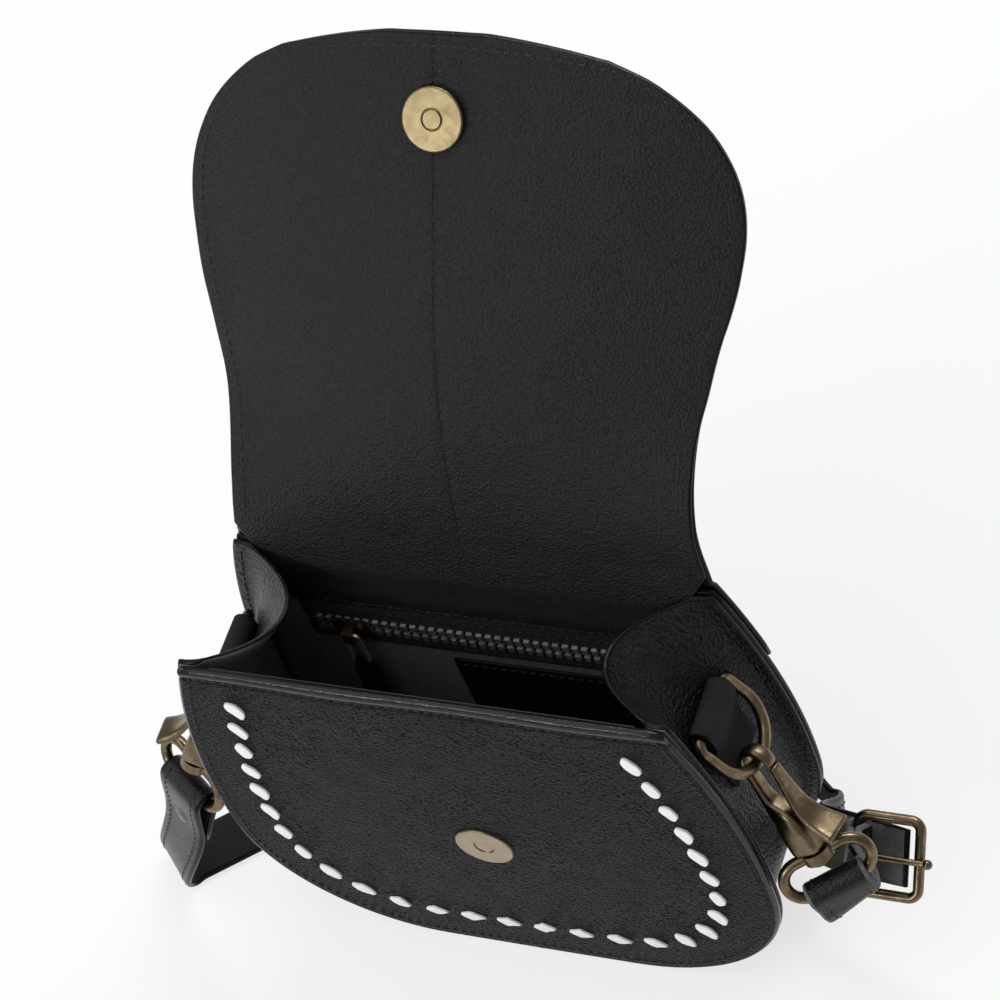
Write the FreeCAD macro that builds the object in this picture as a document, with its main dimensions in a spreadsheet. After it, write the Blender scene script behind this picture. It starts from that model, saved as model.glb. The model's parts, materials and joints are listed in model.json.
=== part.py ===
# Saddle handbag with its flap open, its strap clipped on and lying behind it.
# Millimetres. X runs to the right across the front, Y from front to back, Z up.
import FreeCAD
import Part
import math
import os

Vector = FreeCAD.Vector
doc = FreeCAD.newDocument("SaddleHandbag")
sheet = doc.addObject("Spreadsheet::Sheet", "Sizes")

# Driving sizes
SIZES = [
    # Bag body
    ("bag_depth", 50.0),
    ("back_height", 139.4),
    ("front_rise", 2.6),
    ("panel_top_width", 146.0),
    ("panel_wide_width", 174.0),
    ("panel_wide_height", 62.0),
    ("panel_corner_radius", 56.0),
    ("panel_thickness", 2.4),
    ("seam_lip_width", 4.5),
    ("seam_lip_thickness", 1.8),
    ("gusset_thickness", 1.8),
    ("gusset_top_drop", 1.8),
    ("gusset_bow", 20.0),
    ("lining_thickness", 0.8),
    ("lining_top_drop", 1.2),
    ("lining_clearance", 0.3),
    ("lining_back_inset", 2.6),
    ("fit_gap", 0.05),
    ("cut_overrun", 5.0),
    # Lacing on the front
    ("lace_inset", 17.5),
    ("lace_top_drop", 17.5),
    ("lace_length", 7.2),
    ("lace_width", 3.8),
    ("lace_height", 0.9),
    # Snap
    ("snap_height", 65.5),
    ("snap_diameter", 18.0),
    ("snap_front_height", 2.6),
    ("snap_flap_height", 2.2),
    ("snap_socket_diameter", 6.2),
    ("snap_socket_depth", 1.5),
    ("snap_stud_diameter", 5.2),
    ("snap_stud_height", 0.8),
    ("snap_closed_gap", 0.3),
    # Flap
    ("hinge_setback", 3.1),
    ("hinge_rise", 0.6),
    ("flap_top_length", 53.0),
    ("flap_front_length", 103.0),
    ("flap_root_width", 149.0),
    ("flap_neck_width", 142.6),
    ("flap_fold_width", 147.2),
    ("flap_wide_width", 168.0),
    ("flap_wide_drop", 55.0),
    ("flap_corner_radius", 42.0),
    ("flap_cup_radius", 222.0),
    ("flap_root_radius", 40000.0),
    ("flap_neck_radius", 800.0),
    ("flap_lining_thickness", 1.6),
    ("flap_outer_thickness", 2.0),
    ("flap_layer_gap", 0.15),
    ("flap_fold_gap", 0.3),
    ("flap_root_gap", 2.9),
    ("flap_strip_height", 33.0),
    ("flap_strip_thickness", 1.8),
    # Zip pocket
    ("zip_drop", 35.0),
    ("zip_offset", 2.7),
    ("zip_slit", 1.8),
    ("tape_width", 8.0),
    ("tape_thickness", 0.6),
    ("tape_overhang", 4.0),
    ("tooth_length", 2.2),
    ("tooth_width", 1.7),
    ("tooth_height", 1.2),
    ("tooth_pitch", 3.0),
    ("slider_length", 11.0),
    ("slider_width", 9.0),
    ("slider_plate", 1.2),
    ("slider_clearance", 0.3),
    ("slider_bridge_width", 1.2),
    ("slider_bridge_length", 6.0),
    ("window_width", 11.0),
    ("crown_length", 3.2),
    ("crown_width", 4.4),
    ("crown_height", 3.4),
    ("pull_wire_diameter", 1.5),
    ("pull_pin_clearance", 0.1),
    ("pull_width", 6.4),
    ("pull_length", 15.0),
    ("puller_width", 7.0),
    ("puller_length", 26.0),
    ("puller_thickness", 3.6),
    ("pouch_width", 124.0),
    ("pouch_side_margin", 8.0),
    ("pouch_height", 84.0),
    ("pouch_thickness", 1.4),
    ("label_width", 53.0),
    ("label_height", 30.0),
    ("label_thickness", 1.0),
    ("label_gap", 4.0),
    ("label_offset", 8.7),
    # Side tab and D-ring
    ("tab_ridge_drop", 24.4),
    ("bar_wall_clearance", 1.29),
    ("tab_stack", 1.5),
    ("tab_backing", 8.0),
    ("tab_width", 20.0),
    ("tab_length", 26.0),
    ("tab_leather", 1.5),
    ("ring_wire_diameter", 3.5),
    ("bar_clearance", 0.25),
    ("d_ring_width", 28.5),
    ("d_ring_depth", 21.5),
    ("d_ring_corner_radius", 2.4),
    # Swivel hook, measured from the wire that it holds
    ("nose_inner_radius", 3.2),
    ("nose_wall", 2.4),
    ("nose_width", 5.0),
    ("nose_tip_drop", 1.2),
    ("lever_gap", 0.4),
    ("block_top_drop", 16.0),
    ("block_bottom_drop", 32.0),
    ("block_width", 9.6),
    ("block_outer_reach", 4.8),
    ("slot_width", 4.8),
    ("slot_inner_reach", 2.2),
    ("slot_length", 11.0),
    ("lever_width", 4.2),
    ("lever_thickness", 2.2),
    ("lever_pivot_drop", 20.0),
    ("lever_pivot_reach", 1.6),
    ("lever_boss_diameter", 5.2),
    ("lever_pin_diameter", 2.0),
    ("pin_clearance", 0.06),
    ("thumb_width", 11.0),
    ("thumb_reach", 13.0),
    ("thumb_drop", 26.5),
    ("post_diameter", 4.4),
    ("post_head_diameter", 6.8),
    ("post_head_height", 1.4),
    ("post_clearance", 0.1),
    ("collar_diameter", 9.4),
    ("collar_thickness", 3.4),
    ("collar_gap", 0.2),
    ("eye_length", 30.0),
    ("eye_width", 15.5),
    ("eye_clearance", 0.6),
    # Strap
    ("strap_width", 19.0),
    ("strap_thickness", 2.2),
    ("loop_leg_length", 22.0),
    ("rivet_drop", 14.0),
    ("rivet_head_diameter", 6.8),
    ("rivet_head_height", 1.2),
    ("rivet_shank_diameter", 3.0),
    ("strap_plan_length", 100.0),
    ("strap_turn_pull", 45.0),
    ("strap_twist_pull", 40.0),
    ("strap_lead_pull", 40.0),
    ("tab_pull", 24.0),
    ("tab_leg_length", 6.0),
    # Buckle
    ("buckle_reach", 6.3),
    ("buckle_setback", 20.0),
    ("buckle_drop", 17.5),
    ("buckle_width", 26.4),
    ("buckle_length", 22.0),
    ("buckle_wire_diameter", 3.2),
    ("buckle_corner_radius", 3.0),
    ("strap_behind_heel", 5.9),
    ("strap_tip_reach", 5.0),
    ("prong_diameter", 1.9),
    ("prong_width", 4.0),
    ("prong_ball_diameter", 3.0),
    ("prong_slot_clearance", 0.4),
    ("prong_slot_reach", 7.4),
]
for row, (alias, value) in enumerate(SIZES, start=1):
    sheet.set("A%d" % row, alias)
    sheet.set("B%d" % row, str(value))
    sheet.setAlias("B%d" % row, alias)
doc.recompute()


def size(alias):
    """Value of one driving size."""
    return float(sheet.get(alias))


# Angles in degrees, counts and shares
FLAP_TOP_LEAN = 21.0
FLAP_FRONT_LEAN = 40.0
FLAP_CLOSED_RISE = 5.5
TAB_LEAN = 20.0
D_RING_LEAN = 31.0
HOOK_PLACE_ANGLE = 17.0
HOOK_LIFT_ANGLE = -5.0
LACE_COUNT = 14
LACE_SLANT = -24.0
BAND_STEPS = 12
ROUTE_STEPS = 90
GUSSET_HEIGHT_SHARES = [0.0, 0.37, 0.72, 1.0]
GUSSET_BOW_SHARES = [0.02, 0.2, 0.45, 1.0]
FLAP_NECK_SHARE = 0.48
HALF_SHARE = 0.5
LOOP_DEPTH_SHARES = [-0.97, -0.85, -0.6, -0.25, 0.2, 0.6, 0.85]
EYE_ALONG_SHARES = (0.81, 0.54, 0.21)
TAB_DIRECTION_SHARES = (0.4, 0.0, -0.92)
LEG_DIRECTION_SHARES = (-0.43, -0.04, -0.9)
BUCKLE_BAR_SHARES = (0.0, 0.70, 0.71)
# Plan of the strap on the floor, in shares of strap_plan_length: flat at the left, then on edge to the right
FLAT_PLAN_SHARES = [(-1.23, -0.124), (-1.08, 0.004)]
STRAP_PLAN_SHARES = [
    (-0.84, 0.30), (-0.82, 0.43), (-0.87, 0.60), (-1.05, 0.90),
    (-1.27, 1.34), (-1.37, 1.78), (-1.29, 2.0), (-1.13, 1.92), (-0.99, 1.5), (-0.86, 1.06),
    (-0.74, 0.91), (-0.64, 1.03), (-0.69, 1.35), (-0.81, 1.74), (-0.81, 1.97), (-0.69, 2.03),
    (-0.59, 1.88), (-0.50, 1.45), (-0.34, 0.95), (-0.05, 0.60), (0.35, 0.48), (0.66, 0.43), (0.80, 0.335),
]

half_depth = size("bag_depth") / 2
band_half = half_depth - size("panel_thickness") - size("seam_lip_thickness")
panel_height = size("back_height") + size("front_rise")
gusset_climb = size("back_height") - size("gusset_top_drop") - size("panel_wide_height")
zip_length = size("pouch_width") - 2 * size("pouch_side_margin")
zip_height = size("back_height") - size("zip_drop")
label_top = zip_height - size("zip_slit") / 2 - size("tape_width") - size("label_gap")
X_AXIS = Vector(1, 0, 0)
Y_AXIS = Vector(0, 1, 0)
Z_AXIS = Vector(0, 0, 1)
nodes = []


def keep(node_object, label):
    """Name an object as a node of the part."""
    node_object.Label = label
    nodes.append(node_object)
    return node_object


def frame_placement(origin, x_dir, y_dir, z_dir):
    """Placement of a local frame given by its origin and three axes."""
    matrix = FreeCAD.Matrix(
        x_dir.x, y_dir.x, z_dir.x, origin.x,
        x_dir.y, y_dir.y, z_dir.y, origin.y,
        x_dir.z, y_dir.z, z_dir.z, origin.z,
        0, 0, 0, 1)
    return FreeCAD.Placement(matrix)


def unit(vector):
    """Vector of length one along a vector."""
    return vector * (1 / vector.Length)


def across_only(vector, axis):
    """Unit vector of the part of a vector that is square to an axis."""
    return unit(vector - axis * vector.dot(axis))


def turned(degrees):
    """Cosine and sine of an angle in degrees."""
    return math.cos(math.radians(degrees)), math.sin(math.radians(degrees))


# Bodies, sketches and pads

def new_body(label):
    """An empty body that becomes a node."""
    return keep(doc.addObject("PartDesign::Body", label), label)


def add_sketch(body, name, role, geometry, offset=None):
    """A sketch on one of the body's own planes, moved along its normal by an expression."""
    sketch = body.newObject("Sketcher::SketchObject", name)
    plane = [feature for feature in body.Origin.OriginFeatures if feature.Role == role][0]
    sketch.AttachmentSupport = [(plane, "")]
    sketch.MapMode = "FlatFace"
    if offset:
        sketch.setExpression("AttachmentOffset.Base.z", offset)
    sketch.addGeometry(geometry, False)
    return sketch


def add_pad(body, name, role, geometry, length, offset=None, symmetric=False, reverse=False, cut=False):
    """A pad, or a pocket, of a sketch, with its length bound to an expression."""
    sketch = add_sketch(body, name + "_sketch", role, geometry, offset)
    doc.recompute()
    feature = body.newObject("PartDesign::Pocket" if cut else "PartDesign::Pad", name)
    feature.Profile = sketch
    feature.setExpression("Length", length)
    if symmetric:
        feature.SideType = "Symmetric"
    feature.Reversed = reverse
    sketch.Visibility = False
    return feature


def polygon(points):
    """Closed outline of straight lines through (x, y) points."""
    corners = [Vector(x, y, 0) for x, y in points]
    return [Part.LineSegment(a, b) for a, b in zip(corners, corners[1:] + corners[:1])]


def rectangle(left, bottom, right, top):
    """Closed rectangular outline."""
    return polygon([(left, bottom), (right, bottom), (right, top), (left, top)])


def circle(x, y, radius):
    """Round outline."""
    return [Part.Circle(Vector(x, y, 0), Z_AXIS, radius)]


def arc_through(first, middle, last):
    """Arc through three (x, y) points."""
    return Part.Arc(Vector(*first, 0), Vector(*middle, 0), Vector(*last, 0))


def arc_about(centre, radius, start, end, side):
    """Arc about a centre between two angles in radians, mirrored across the middle when side is -1."""
    points = []
    for angle in (start, (start + end) / 2, end):
        points.append((side * (centre[0] + radius * math.cos(angle)), centre[1] + radius * math.sin(angle)))
    return arc_through(*points)


# Panel outline: a flat bottom, round lower corners and long side arcs

def saddle_outline(half_top, half_wide, wide_height, height, corner):
    """Centres and radii of the arcs of a saddle outline's right half."""
    rise = height - wide_height
    narrowing = half_wide - half_top
    side_radius = (rise ** 2 + narrowing ** 2) / (2 * narrowing)
    tilt = math.asin((corner - wide_height) / (side_radius - corner))
    side_x = half_wide - side_radius
    corner_x = side_x + (side_radius - corner) * math.cos(tilt)
    return {"side_radius": side_radius, "side": (side_x, wide_height), "tilt": tilt,
            "corner_radius": corner, "corner": (corner_x, corner)}


panel = saddle_outline(size("panel_top_width") / 2, size("panel_wide_width") / 2, size("panel_wide_height"),
                       panel_height, size("panel_corner_radius"))


def half_width(inset, height):
    """Half-width of the inset panel outline on its side arc."""
    radius = panel["side_radius"] - inset
    return panel["side"][0] + math.sqrt(radius ** 2 - (height - panel["side"][1]) ** 2)


def half_outline(inset, top, side):
    """Bottom, corner and side edges of one half of the inset outline."""
    side_radius = panel["side_radius"] - inset
    top_angle = math.asin((top - panel["side"][1]) / side_radius)
    corner_x = panel["corner"][0]
    return [
        Part.LineSegment(Vector(0, inset, 0), Vector(side * corner_x, inset, 0)),
        arc_about(panel["corner"], panel["corner_radius"] - inset, -math.pi / 2, panel["tilt"], side),
        arc_about(panel["side"], side_radius, panel["tilt"], top_angle, side),
    ]


def top_line(outer, inner, top):
    """Straight edge at the top between two places across the width."""
    return Part.LineSegment(Vector(outer, top, 0), Vector(inner, top, 0))


def full_outline(inset, top):
    """Closed inset outline up to a height."""
    reach = half_width(inset, top)
    return half_outline(inset, top, 1) + half_outline(inset, top, -1) + [top_line(-reach, reach, top)]


def strip_outline(outer, inner, top):
    """Closed outline of the strip between two insets, open at the top of the bag."""
    edges = []
    for side in (1, -1):
        edges += half_outline(outer, top, side) + half_outline(inner, top, side)
        edges.append(top_line(side * half_width(outer, top), side * half_width(inner, top), top))
    return edges


# Front and back panels
front_panel = new_body("front_panel")
add_pad(front_panel, "front_leather", "XZ_Plane", full_outline(0, panel_height), "Sizes.panel_thickness",
        offset="Sizes.bag_depth / 2 - Sizes.panel_thickness")
back_panel = new_body("back_panel")
add_pad(back_panel, "back_leather", "XZ_Plane", full_outline(0, size("back_height")), "Sizes.panel_thickness",
        offset="-Sizes.bag_depth / 2")

# Gusset base with its seam lips, and the two bowed side walls
lip = size("seam_lip_width")
wall_inset = lip + size("gusset_thickness")
gusset_base = new_body("gusset_base")
add_pad(gusset_base, "base_band", "XZ_Plane", strip_outline(lip, wall_inset, size("panel_wide_height")),
        "Sizes.bag_depth - 2 * Sizes.panel_thickness - 2 * Sizes.seam_lip_thickness", symmetric=True)
add_pad(gusset_base, "front_lip", "XZ_Plane", strip_outline(0, wall_inset, panel_height),
        "Sizes.seam_lip_thickness",
        offset="Sizes.bag_depth / 2 - Sizes.panel_thickness - Sizes.seam_lip_thickness")
add_pad(gusset_base, "back_lip", "XZ_Plane", strip_outline(0, wall_inset, size("back_height")),
        "Sizes.seam_lip_thickness", offset="-Sizes.bag_depth / 2 + Sizes.panel_thickness")


def gusset_section(height, bow, wall):
    """Cross-section of the right side wall at one height: two arcs that bow inward."""
    outer = half_width(lip, height)
    inner = outer - wall
    return [
        arc_through((outer, -band_half), (outer - bow, 0), (outer, band_half)),
        Part.LineSegment(Vector(outer, band_half, 0), Vector(inner, band_half, 0)),
        arc_through((inner, band_half), (inner - bow, 0), (inner, -band_half)),
        Part.LineSegment(Vector(inner, -band_half, 0), Vector(outer, -band_half, 0)),
    ]


climb_words = "Sizes.back_height - Sizes.gusset_top_drop - Sizes.panel_wide_height"


def loft_side(body, name, wall):
    """Loft of the side wall's sections, with a given wall."""
    sketches = []
    for number, (height_share, bow_share) in enumerate(zip(GUSSET_HEIGHT_SHARES, GUSSET_BOW_SHARES)):
        height = size("panel_wide_height") + height_share * gusset_climb
        offset = "Sizes.panel_wide_height + %s * (%s)" % (height_share, climb_words)
        geometry = gusset_section(height, bow_share * size("gusset_bow"), wall)
        sketches.append(add_sketch(body, "%s_section_%d" % (name, number), "XY_Plane", geometry, offset))
    doc.recompute()
    loft = body.newObject("PartDesign::AdditiveLoft", name)
    loft.Profile = sketches[0]
    loft.Sections = sketches[1:]
    return loft


def bow_at(height):
    """Bow of the side wall at a height, between the sections of its loft."""
    climb_share = (height - size("panel_wide_height")) / gusset_climb
    sections = list(zip(GUSSET_HEIGHT_SHARES, GUSSET_BOW_SHARES))
    for (low, low_bow), (high, high_bow) in zip(sections, sections[1:]):
        if climb_share <= high:
            break
    return size("gusset_bow") * (low_bow + (high_bow - low_bow) * (climb_share - low) / (high - low))


def mirrored(source, label):
    """Left-hand twin of a node on the right."""
    twin = doc.addObject("Part::Mirroring", label)
    twin.Source = source
    twin.Normal = X_AXIS
    return keep(twin, label)


gusset_right = new_body("gusset_side_right")
loft_side(gusset_right, "side_wall", size("gusset_thickness"))
mirrored(gusset_right, "gusset_side_left")

# Linings, with the zip's window in the back one
lining_inset = wall_inset + size("lining_clearance")
lining_top = panel_height - size("lining_top_drop")
lining_front = new_body("lining_front")
add_pad(lining_front, "front_lining", "XZ_Plane", full_outline(lining_inset, lining_top),
        "Sizes.lining_thickness",
        offset="Sizes.bag_depth / 2 - Sizes.panel_thickness - Sizes.lining_thickness")

window_half = zip_length / 2
window_low = zip_height - size("window_width") / 2
window_high = zip_height + size("window_width") / 2
window = rectangle(-window_half - size("zip_offset"), window_low, window_half - size("zip_offset"), window_high)
lining_back = new_body("lining_back")
add_pad(lining_back, "back_lining", "XZ_Plane",
        full_outline(wall_inset + size("lining_back_inset"), size("back_height")) + window,
        "Sizes.lining_thickness",
        offset="-Sizes.bag_depth / 2 + Sizes.panel_thickness + Sizes.pouch_thickness")
lining_face = half_depth - size("panel_thickness") - size("pouch_thickness") - size("lining_thickness")

pouch = new_body("pocket_pouch")
pouch_half = size("pouch_width") / 2
pouch_top = window_high + size("tape_width")
add_pad(pouch, "pouch_bag", "XZ_Plane",
        rectangle(-pouch_half, pouch_top - size("pouch_height"), pouch_half, pouch_top) + window,
        "Sizes.pouch_thickness", offset="-Sizes.bag_depth / 2 + Sizes.panel_thickness")

label_patch = new_body("label_patch")
label_left = size("label_offset") - size("label_width") / 2
add_pad(label_patch, "label_leather", "XZ_Plane",
        rectangle(label_left, label_top - size("label_height"), label_left + size("label_width"),
                  label_top),
        "Sizes.label_thickness",
        offset="-Sizes.bag_depth / 2 + Sizes.panel_thickness + Sizes.pouch_thickness + Sizes.lining_thickness")

# Lacing: lens-shaped stitches spaced along an inset of the panel's edge

def lace_points():
    """Places of the stitches of the right half, from the bottom middle up the side."""
    inset = size("lace_inset")
    corner_radius = panel["corner_radius"] - inset
    side_radius = panel["side_radius"] - inset
    bottom_run = panel["corner"][0]
    corner_run = corner_radius * (panel["tilt"] + math.pi / 2)
    top_height = panel_height - size("lace_top_drop")
    top_angle = math.asin((top_height - panel["side"][1]) / side_radius)
    side_run = side_radius * (top_angle - panel["tilt"])
    pitch = (bottom_run + corner_run + side_run) / (LACE_COUNT - HALF_SHARE)
    places = []
    for number in range(LACE_COUNT):
        run = (number + HALF_SHARE) * pitch
        if run < bottom_run:
            places.append((run, inset))
            continue
        if run < bottom_run + corner_run:
            angle = -math.pi / 2 + (run - bottom_run) / corner_radius
            centre, radius = panel["corner"], corner_radius
        else:
            angle = panel["tilt"] + (run - bottom_run - corner_run) / side_radius
            centre, radius = panel["side"], side_radius
        places.append((centre[0] + radius * math.cos(angle), centre[1] + radius * math.sin(angle)))
    return places


def lace_stitch(x, z):
    """One lens-shaped stitch standing on the front panel."""
    half_long = size("lace_length") / 2
    half_wide = size("lace_width") / 2
    upper = arc_through((-half_long, 0), (0, half_wide), (half_long, 0))
    lower = arc_through((half_long, 0), (0, -half_wide), (-half_long, 0))
    face = Part.Face(Part.Wire([upper.toShape(), lower.toShape()]))
    stitch = face.extrude(Vector(0, 0, size("lace_height")))
    stitch.rotate(Vector(0, 0, 0), Z_AXIS, LACE_SLANT)
    stitch.rotate(Vector(0, 0, 0), X_AXIS, 90)
    stitch.translate(Vector(x, -half_depth, z))
    return stitch


def add_shape(label, shape):
    """A node whose shape is worked out here."""
    feature = doc.addObject("Part::Feature", label)
    feature.Shape = shape
    return keep(feature, label)


stitches = [lace_stitch(side * x, z) for x, z in lace_points() for side in (1, -1)]
add_shape("lacing", Part.makeCompound(stitches))


# Snap halves

def snap_half(label, height, boss, placement):
    """A snap disc of two turned steps; boss is positive for a stud and negative for a socket."""
    disc = doc.addObject("Part::Cylinder", label + "_disc")
    disc.setExpression("Radius", "Sizes.snap_diameter / 2")
    disc.setExpression("Height", height)
    centre = doc.addObject("Part::Cylinder", label + "_centre")
    if boss > 0:
        centre.setExpression("Radius", "Sizes.snap_stud_diameter / 2")
        centre.setExpression("Height", height + " + Sizes.snap_stud_height")
        joined = doc.addObject("Part::Fuse", label)
    else:
        centre.setExpression("Radius", "Sizes.snap_socket_diameter / 2")
        centre.setExpression("Height", "Sizes.snap_socket_depth + Sizes.cut_overrun")
        centre.setExpression("Placement.Base.z", height + " - Sizes.snap_socket_depth")
        joined = doc.addObject("Part::Cut", label)
    joined.Base = disc
    joined.Tool = centre
    joined.Placement = placement
    return keep(joined, label)


front_facing = FreeCAD.Rotation(X_AXIS, 90)
snap_half("snap_front", "Sizes.snap_front_height", -1,
          FreeCAD.Placement(Vector(0, -half_depth, size("snap_height")), front_facing))

# Flap: two layers, folded into an upper part and a cupped lower part
hinge = Vector(0, half_depth - size("hinge_setback"), size("back_height") + size("hinge_rise"))


def flap_frame(origin, lean):
    """Frame with X across, Y towards the outer leather and Z along the flap away from the hinge."""
    cosine, sine = turned(lean)
    return frame_placement(origin, X_AXIS, Vector(0, cosine, -sine), Vector(0, sine, cosine))


flap_top_frame = flap_frame(hinge, FLAP_TOP_LEAN)
fold = flap_top_frame.multVec(Vector(0, 0, size("flap_top_length")))
flap_front_frame = flap_frame(fold, FLAP_FRONT_LEAN)
lining_layer = (0, size("flap_lining_thickness"))
outer_layer = (lining_layer[1] + size("flap_layer_gap"),
               lining_layer[1] + size("flap_layer_gap") + size("flap_outer_thickness"))


def cupped_band(radius, reach, layer):
    """Cross-section of one layer: two arcs about one centre on the outer side, closed at the ends."""
    spread = math.asin(reach / radius)
    arcs = []
    ends = []
    for depth in layer:
        points = []
        for angle in (-spread, 0, spread):
            points.append(((radius - depth) * math.sin(angle), radius - (radius - depth) * math.cos(angle)))
        arcs.append(arc_through(*points))
        ends.append((points[0], points[2]))
    sides = [Part.LineSegment(Vector(*ends[0][k], 0), Vector(*ends[1][k], 0)) for k in (0, 1)]
    return arcs + sides


def miter_waste(run, side):
    """Outline of what is cut off so that both parts of the flap meet on the plane halfway between them."""
    slope = side * math.tan(math.radians((FLAP_FRONT_LEAN - FLAP_TOP_LEAN) / 2))
    gap = side * size("flap_fold_gap")
    over = side * size("cut_overrun")
    reach = size("flap_top_length")
    return polygon([(-reach, run + gap - reach * slope), (reach, run + gap + reach * slope),
                    (reach, run - over - reach * abs(slope) * side),
                    (-reach, run - over - reach * abs(slope) * side)])


def flap_top_layer(label, layer, start):
    """One layer of the flap's upper part, lofted from its straight root to its cupped fold."""
    body = new_body(label)
    stations = [
        (start, size("flap_root_radius"), size("flap_root_width") / 2),
        ("%s * Sizes.flap_top_length" % FLAP_NECK_SHARE, size("flap_neck_radius"), size("flap_neck_width") / 2),
        ("Sizes.flap_top_length", size("flap_cup_radius"), size("flap_fold_width") / 2),
    ]
    sketches = []
    for number, (offset, radius, reach) in enumerate(stations):
        geometry = cupped_band(radius, reach, layer)
        sketches.append(add_sketch(body, "%s_section_%d" % (label, number), "XY_Plane", geometry, offset))
    doc.recompute()
    loft = body.newObject("PartDesign::AdditiveLoft", label + "_loft")
    loft.Profile = sketches[0]
    loft.Sections = sketches[1:]
    doc.recompute()
    add_pad(body, label + "_miter", "YZ_Plane", miter_waste(size("flap_top_length"), -1), "Sizes.flap_wide_width",
            symmetric=True, cut=True)
    body.Placement = flap_top_frame


def flap_front_waste():
    """Outline of what is cut away round the flap's lower part, in its own plane."""
    wide = size("flap_wide_width") / 2
    drop = size("flap_wide_drop")
    corner = size("flap_corner_radius")
    length = size("flap_front_length")
    over = size("cut_overrun")
    start_reach = size("flap_fold_width") / 2
    narrowing = wide - start_reach
    side_radius = (drop ** 2 + narrowing ** 2) / (2 * narrowing)
    start_angle = math.asin(-drop / side_radius)
    centre_x = wide - corner
    tip_depth = length - drop
    tip_radius = (centre_x ** 2 + tip_depth ** 2 - corner ** 2) / (2 * (tip_depth - corner))
    meet = math.atan2(drop - length + tip_radius, centre_x)
    edges = rectangle(-wide - over, -over, wide + over, length + over)
    for side in (1, -1):
        edges.append(arc_about((wide - side_radius, drop), side_radius, start_angle, 0, side))
        edges.append(arc_about((centre_x, drop), corner, 0, meet, side))
        edges.append(arc_about((0, length - tip_radius), tip_radius, meet, math.pi / 2, side))
    edges.append(Part.LineSegment(Vector(start_reach, 0, 0), Vector(-start_reach, 0, 0)))
    return edges


def flap_front_layer(label, layer):
    """One layer of the flap's lower part: a cupped sheet trimmed to the flap's outline."""
    body = new_body(label)
    reach = size("flap_wide_width") / 2
    add_pad(body, label + "_sheet", "XY_Plane", cupped_band(size("flap_cup_radius"), reach, layer),
            "Sizes.flap_front_length")
    add_pad(body, label + "_trim", "XZ_Plane", flap_front_waste(), "Sizes.flap_wide_width",
            symmetric=True, cut=True)
    add_pad(body, label + "_miter", "YZ_Plane", miter_waste(0, 1), "Sizes.flap_wide_width",
            symmetric=True, cut=True)
    body.Placement = flap_front_frame


flap_top_layer("flap_top_lining", lining_layer, "Sizes.hinge_rise")
flap_top_layer("flap_top_outer", outer_layer, "Sizes.flap_root_gap")
flap_front_layer("flap_front_lining", lining_layer)
flap_front_layer("flap_front_outer", outer_layer)

# The stud's place along the flap follows from where the closed flap meets the socket
closed_cosine, closed_sine = turned(FLAP_CLOSED_RISE)
closed_fold = hinge + Vector(0, -closed_cosine, closed_sine) * size("flap_top_length")
snap_stack = size("snap_front_height") + size("snap_flap_height") + size("snap_closed_gap")
stud_drop = closed_fold.z - size("snap_height")
stud_draw = -half_depth - snap_stack - closed_fold.y
stud_run = math.hypot(stud_drop, stud_draw)
closed_draw_angle = math.degrees(math.atan2(stud_draw, stud_drop))
stud_placement = FreeCAD.Placement(Vector(0, 0, stud_run), front_facing)
snap_half("snap_flap", "Sizes.snap_flap_height", 1, flap_front_frame.multiply(stud_placement))

# Strip of the flap's outer leather sewn on the back panel's outside
strip_low = size("back_height") - size("flap_strip_height")
low_angle = math.asin((strip_low - panel["side"][1]) / panel["side_radius"])
high_angle = math.asin((size("back_height") - panel["side"][1]) / panel["side_radius"])
strip_edges = []
for side in (1, -1):
    strip_edges.append(arc_about(panel["side"], panel["side_radius"], low_angle, high_angle, side))
for height in (strip_low, size("back_height")):
    strip_edges.append(top_line(-half_width(0, height), half_width(0, height), height))
flap_strip = new_body("flap_back_strip")
add_pad(flap_strip, "strip_leather", "XZ_Plane", strip_edges, "Sizes.flap_strip_thickness",
        offset="-Sizes.bag_depth / 2 - Sizes.flap_strip_thickness")


# Zip: tapes, teeth, slider, pull and puller

def box_between(low, high):
    """Box between two opposite corners."""
    return Part.makeBox(high.x - low.x, high.y - low.y, high.z - low.z, low)


def zip_rows(inner, outer, left, right, front, back):
    """Two boxes, above and below the zip's slit, between distances from its middle line."""
    middle = zip_height
    upper = box_between(Vector(left, front, middle + inner), Vector(right, back, middle + outer))
    lower = box_between(Vector(left, front, middle - outer), Vector(right, back, middle - inner))
    return [upper, lower]


zip_left = -zip_length / 2 - size("zip_offset")
zip_right = zip_left + zip_length
slit_half = size("zip_slit") / 2
tape_front = lining_face - size("tape_thickness")
teeth_front = tape_front - size("tooth_height")
tapes = zip_rows(slit_half, slit_half + size("tape_width"), zip_left - size("tape_overhang"),
                 zip_right + size("tape_overhang"), tape_front, lining_face)
add_shape("zip_tapes", Part.makeCompound(tapes))
teeth = []
tooth_count = int(zip_length / size("tooth_pitch"))
for number in range(tooth_count):
    left = zip_left + number * size("tooth_pitch")
    teeth += zip_rows(slit_half, slit_half + size("tooth_length"), left, left + size("tooth_width"),
                      teeth_front, tape_front)
add_shape("zip_teeth", Part.makeCompound(teeth))

slider_x = zip_left + size("slider_length")
slider_travel = zip_right - size("slider_length") - slider_x
plate_back = teeth_front - size("slider_clearance")
plate_front = plate_back - size("slider_plate")
crown_front = plate_front - size("crown_height")
rear_front = lining_face + size("slider_clearance")
rear_back = rear_front + size("slider_plate")
pull_centre = Vector(slider_x, (crown_front + plate_front) / 2, zip_height)


def slider_block(length, width, front, back):
    """Box about the slider's middle, between two depths."""
    low = Vector(slider_x - length / 2, front, zip_height - width / 2)
    high = Vector(slider_x + length / 2, back, zip_height + width / 2)
    return box_between(low, high)


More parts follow.
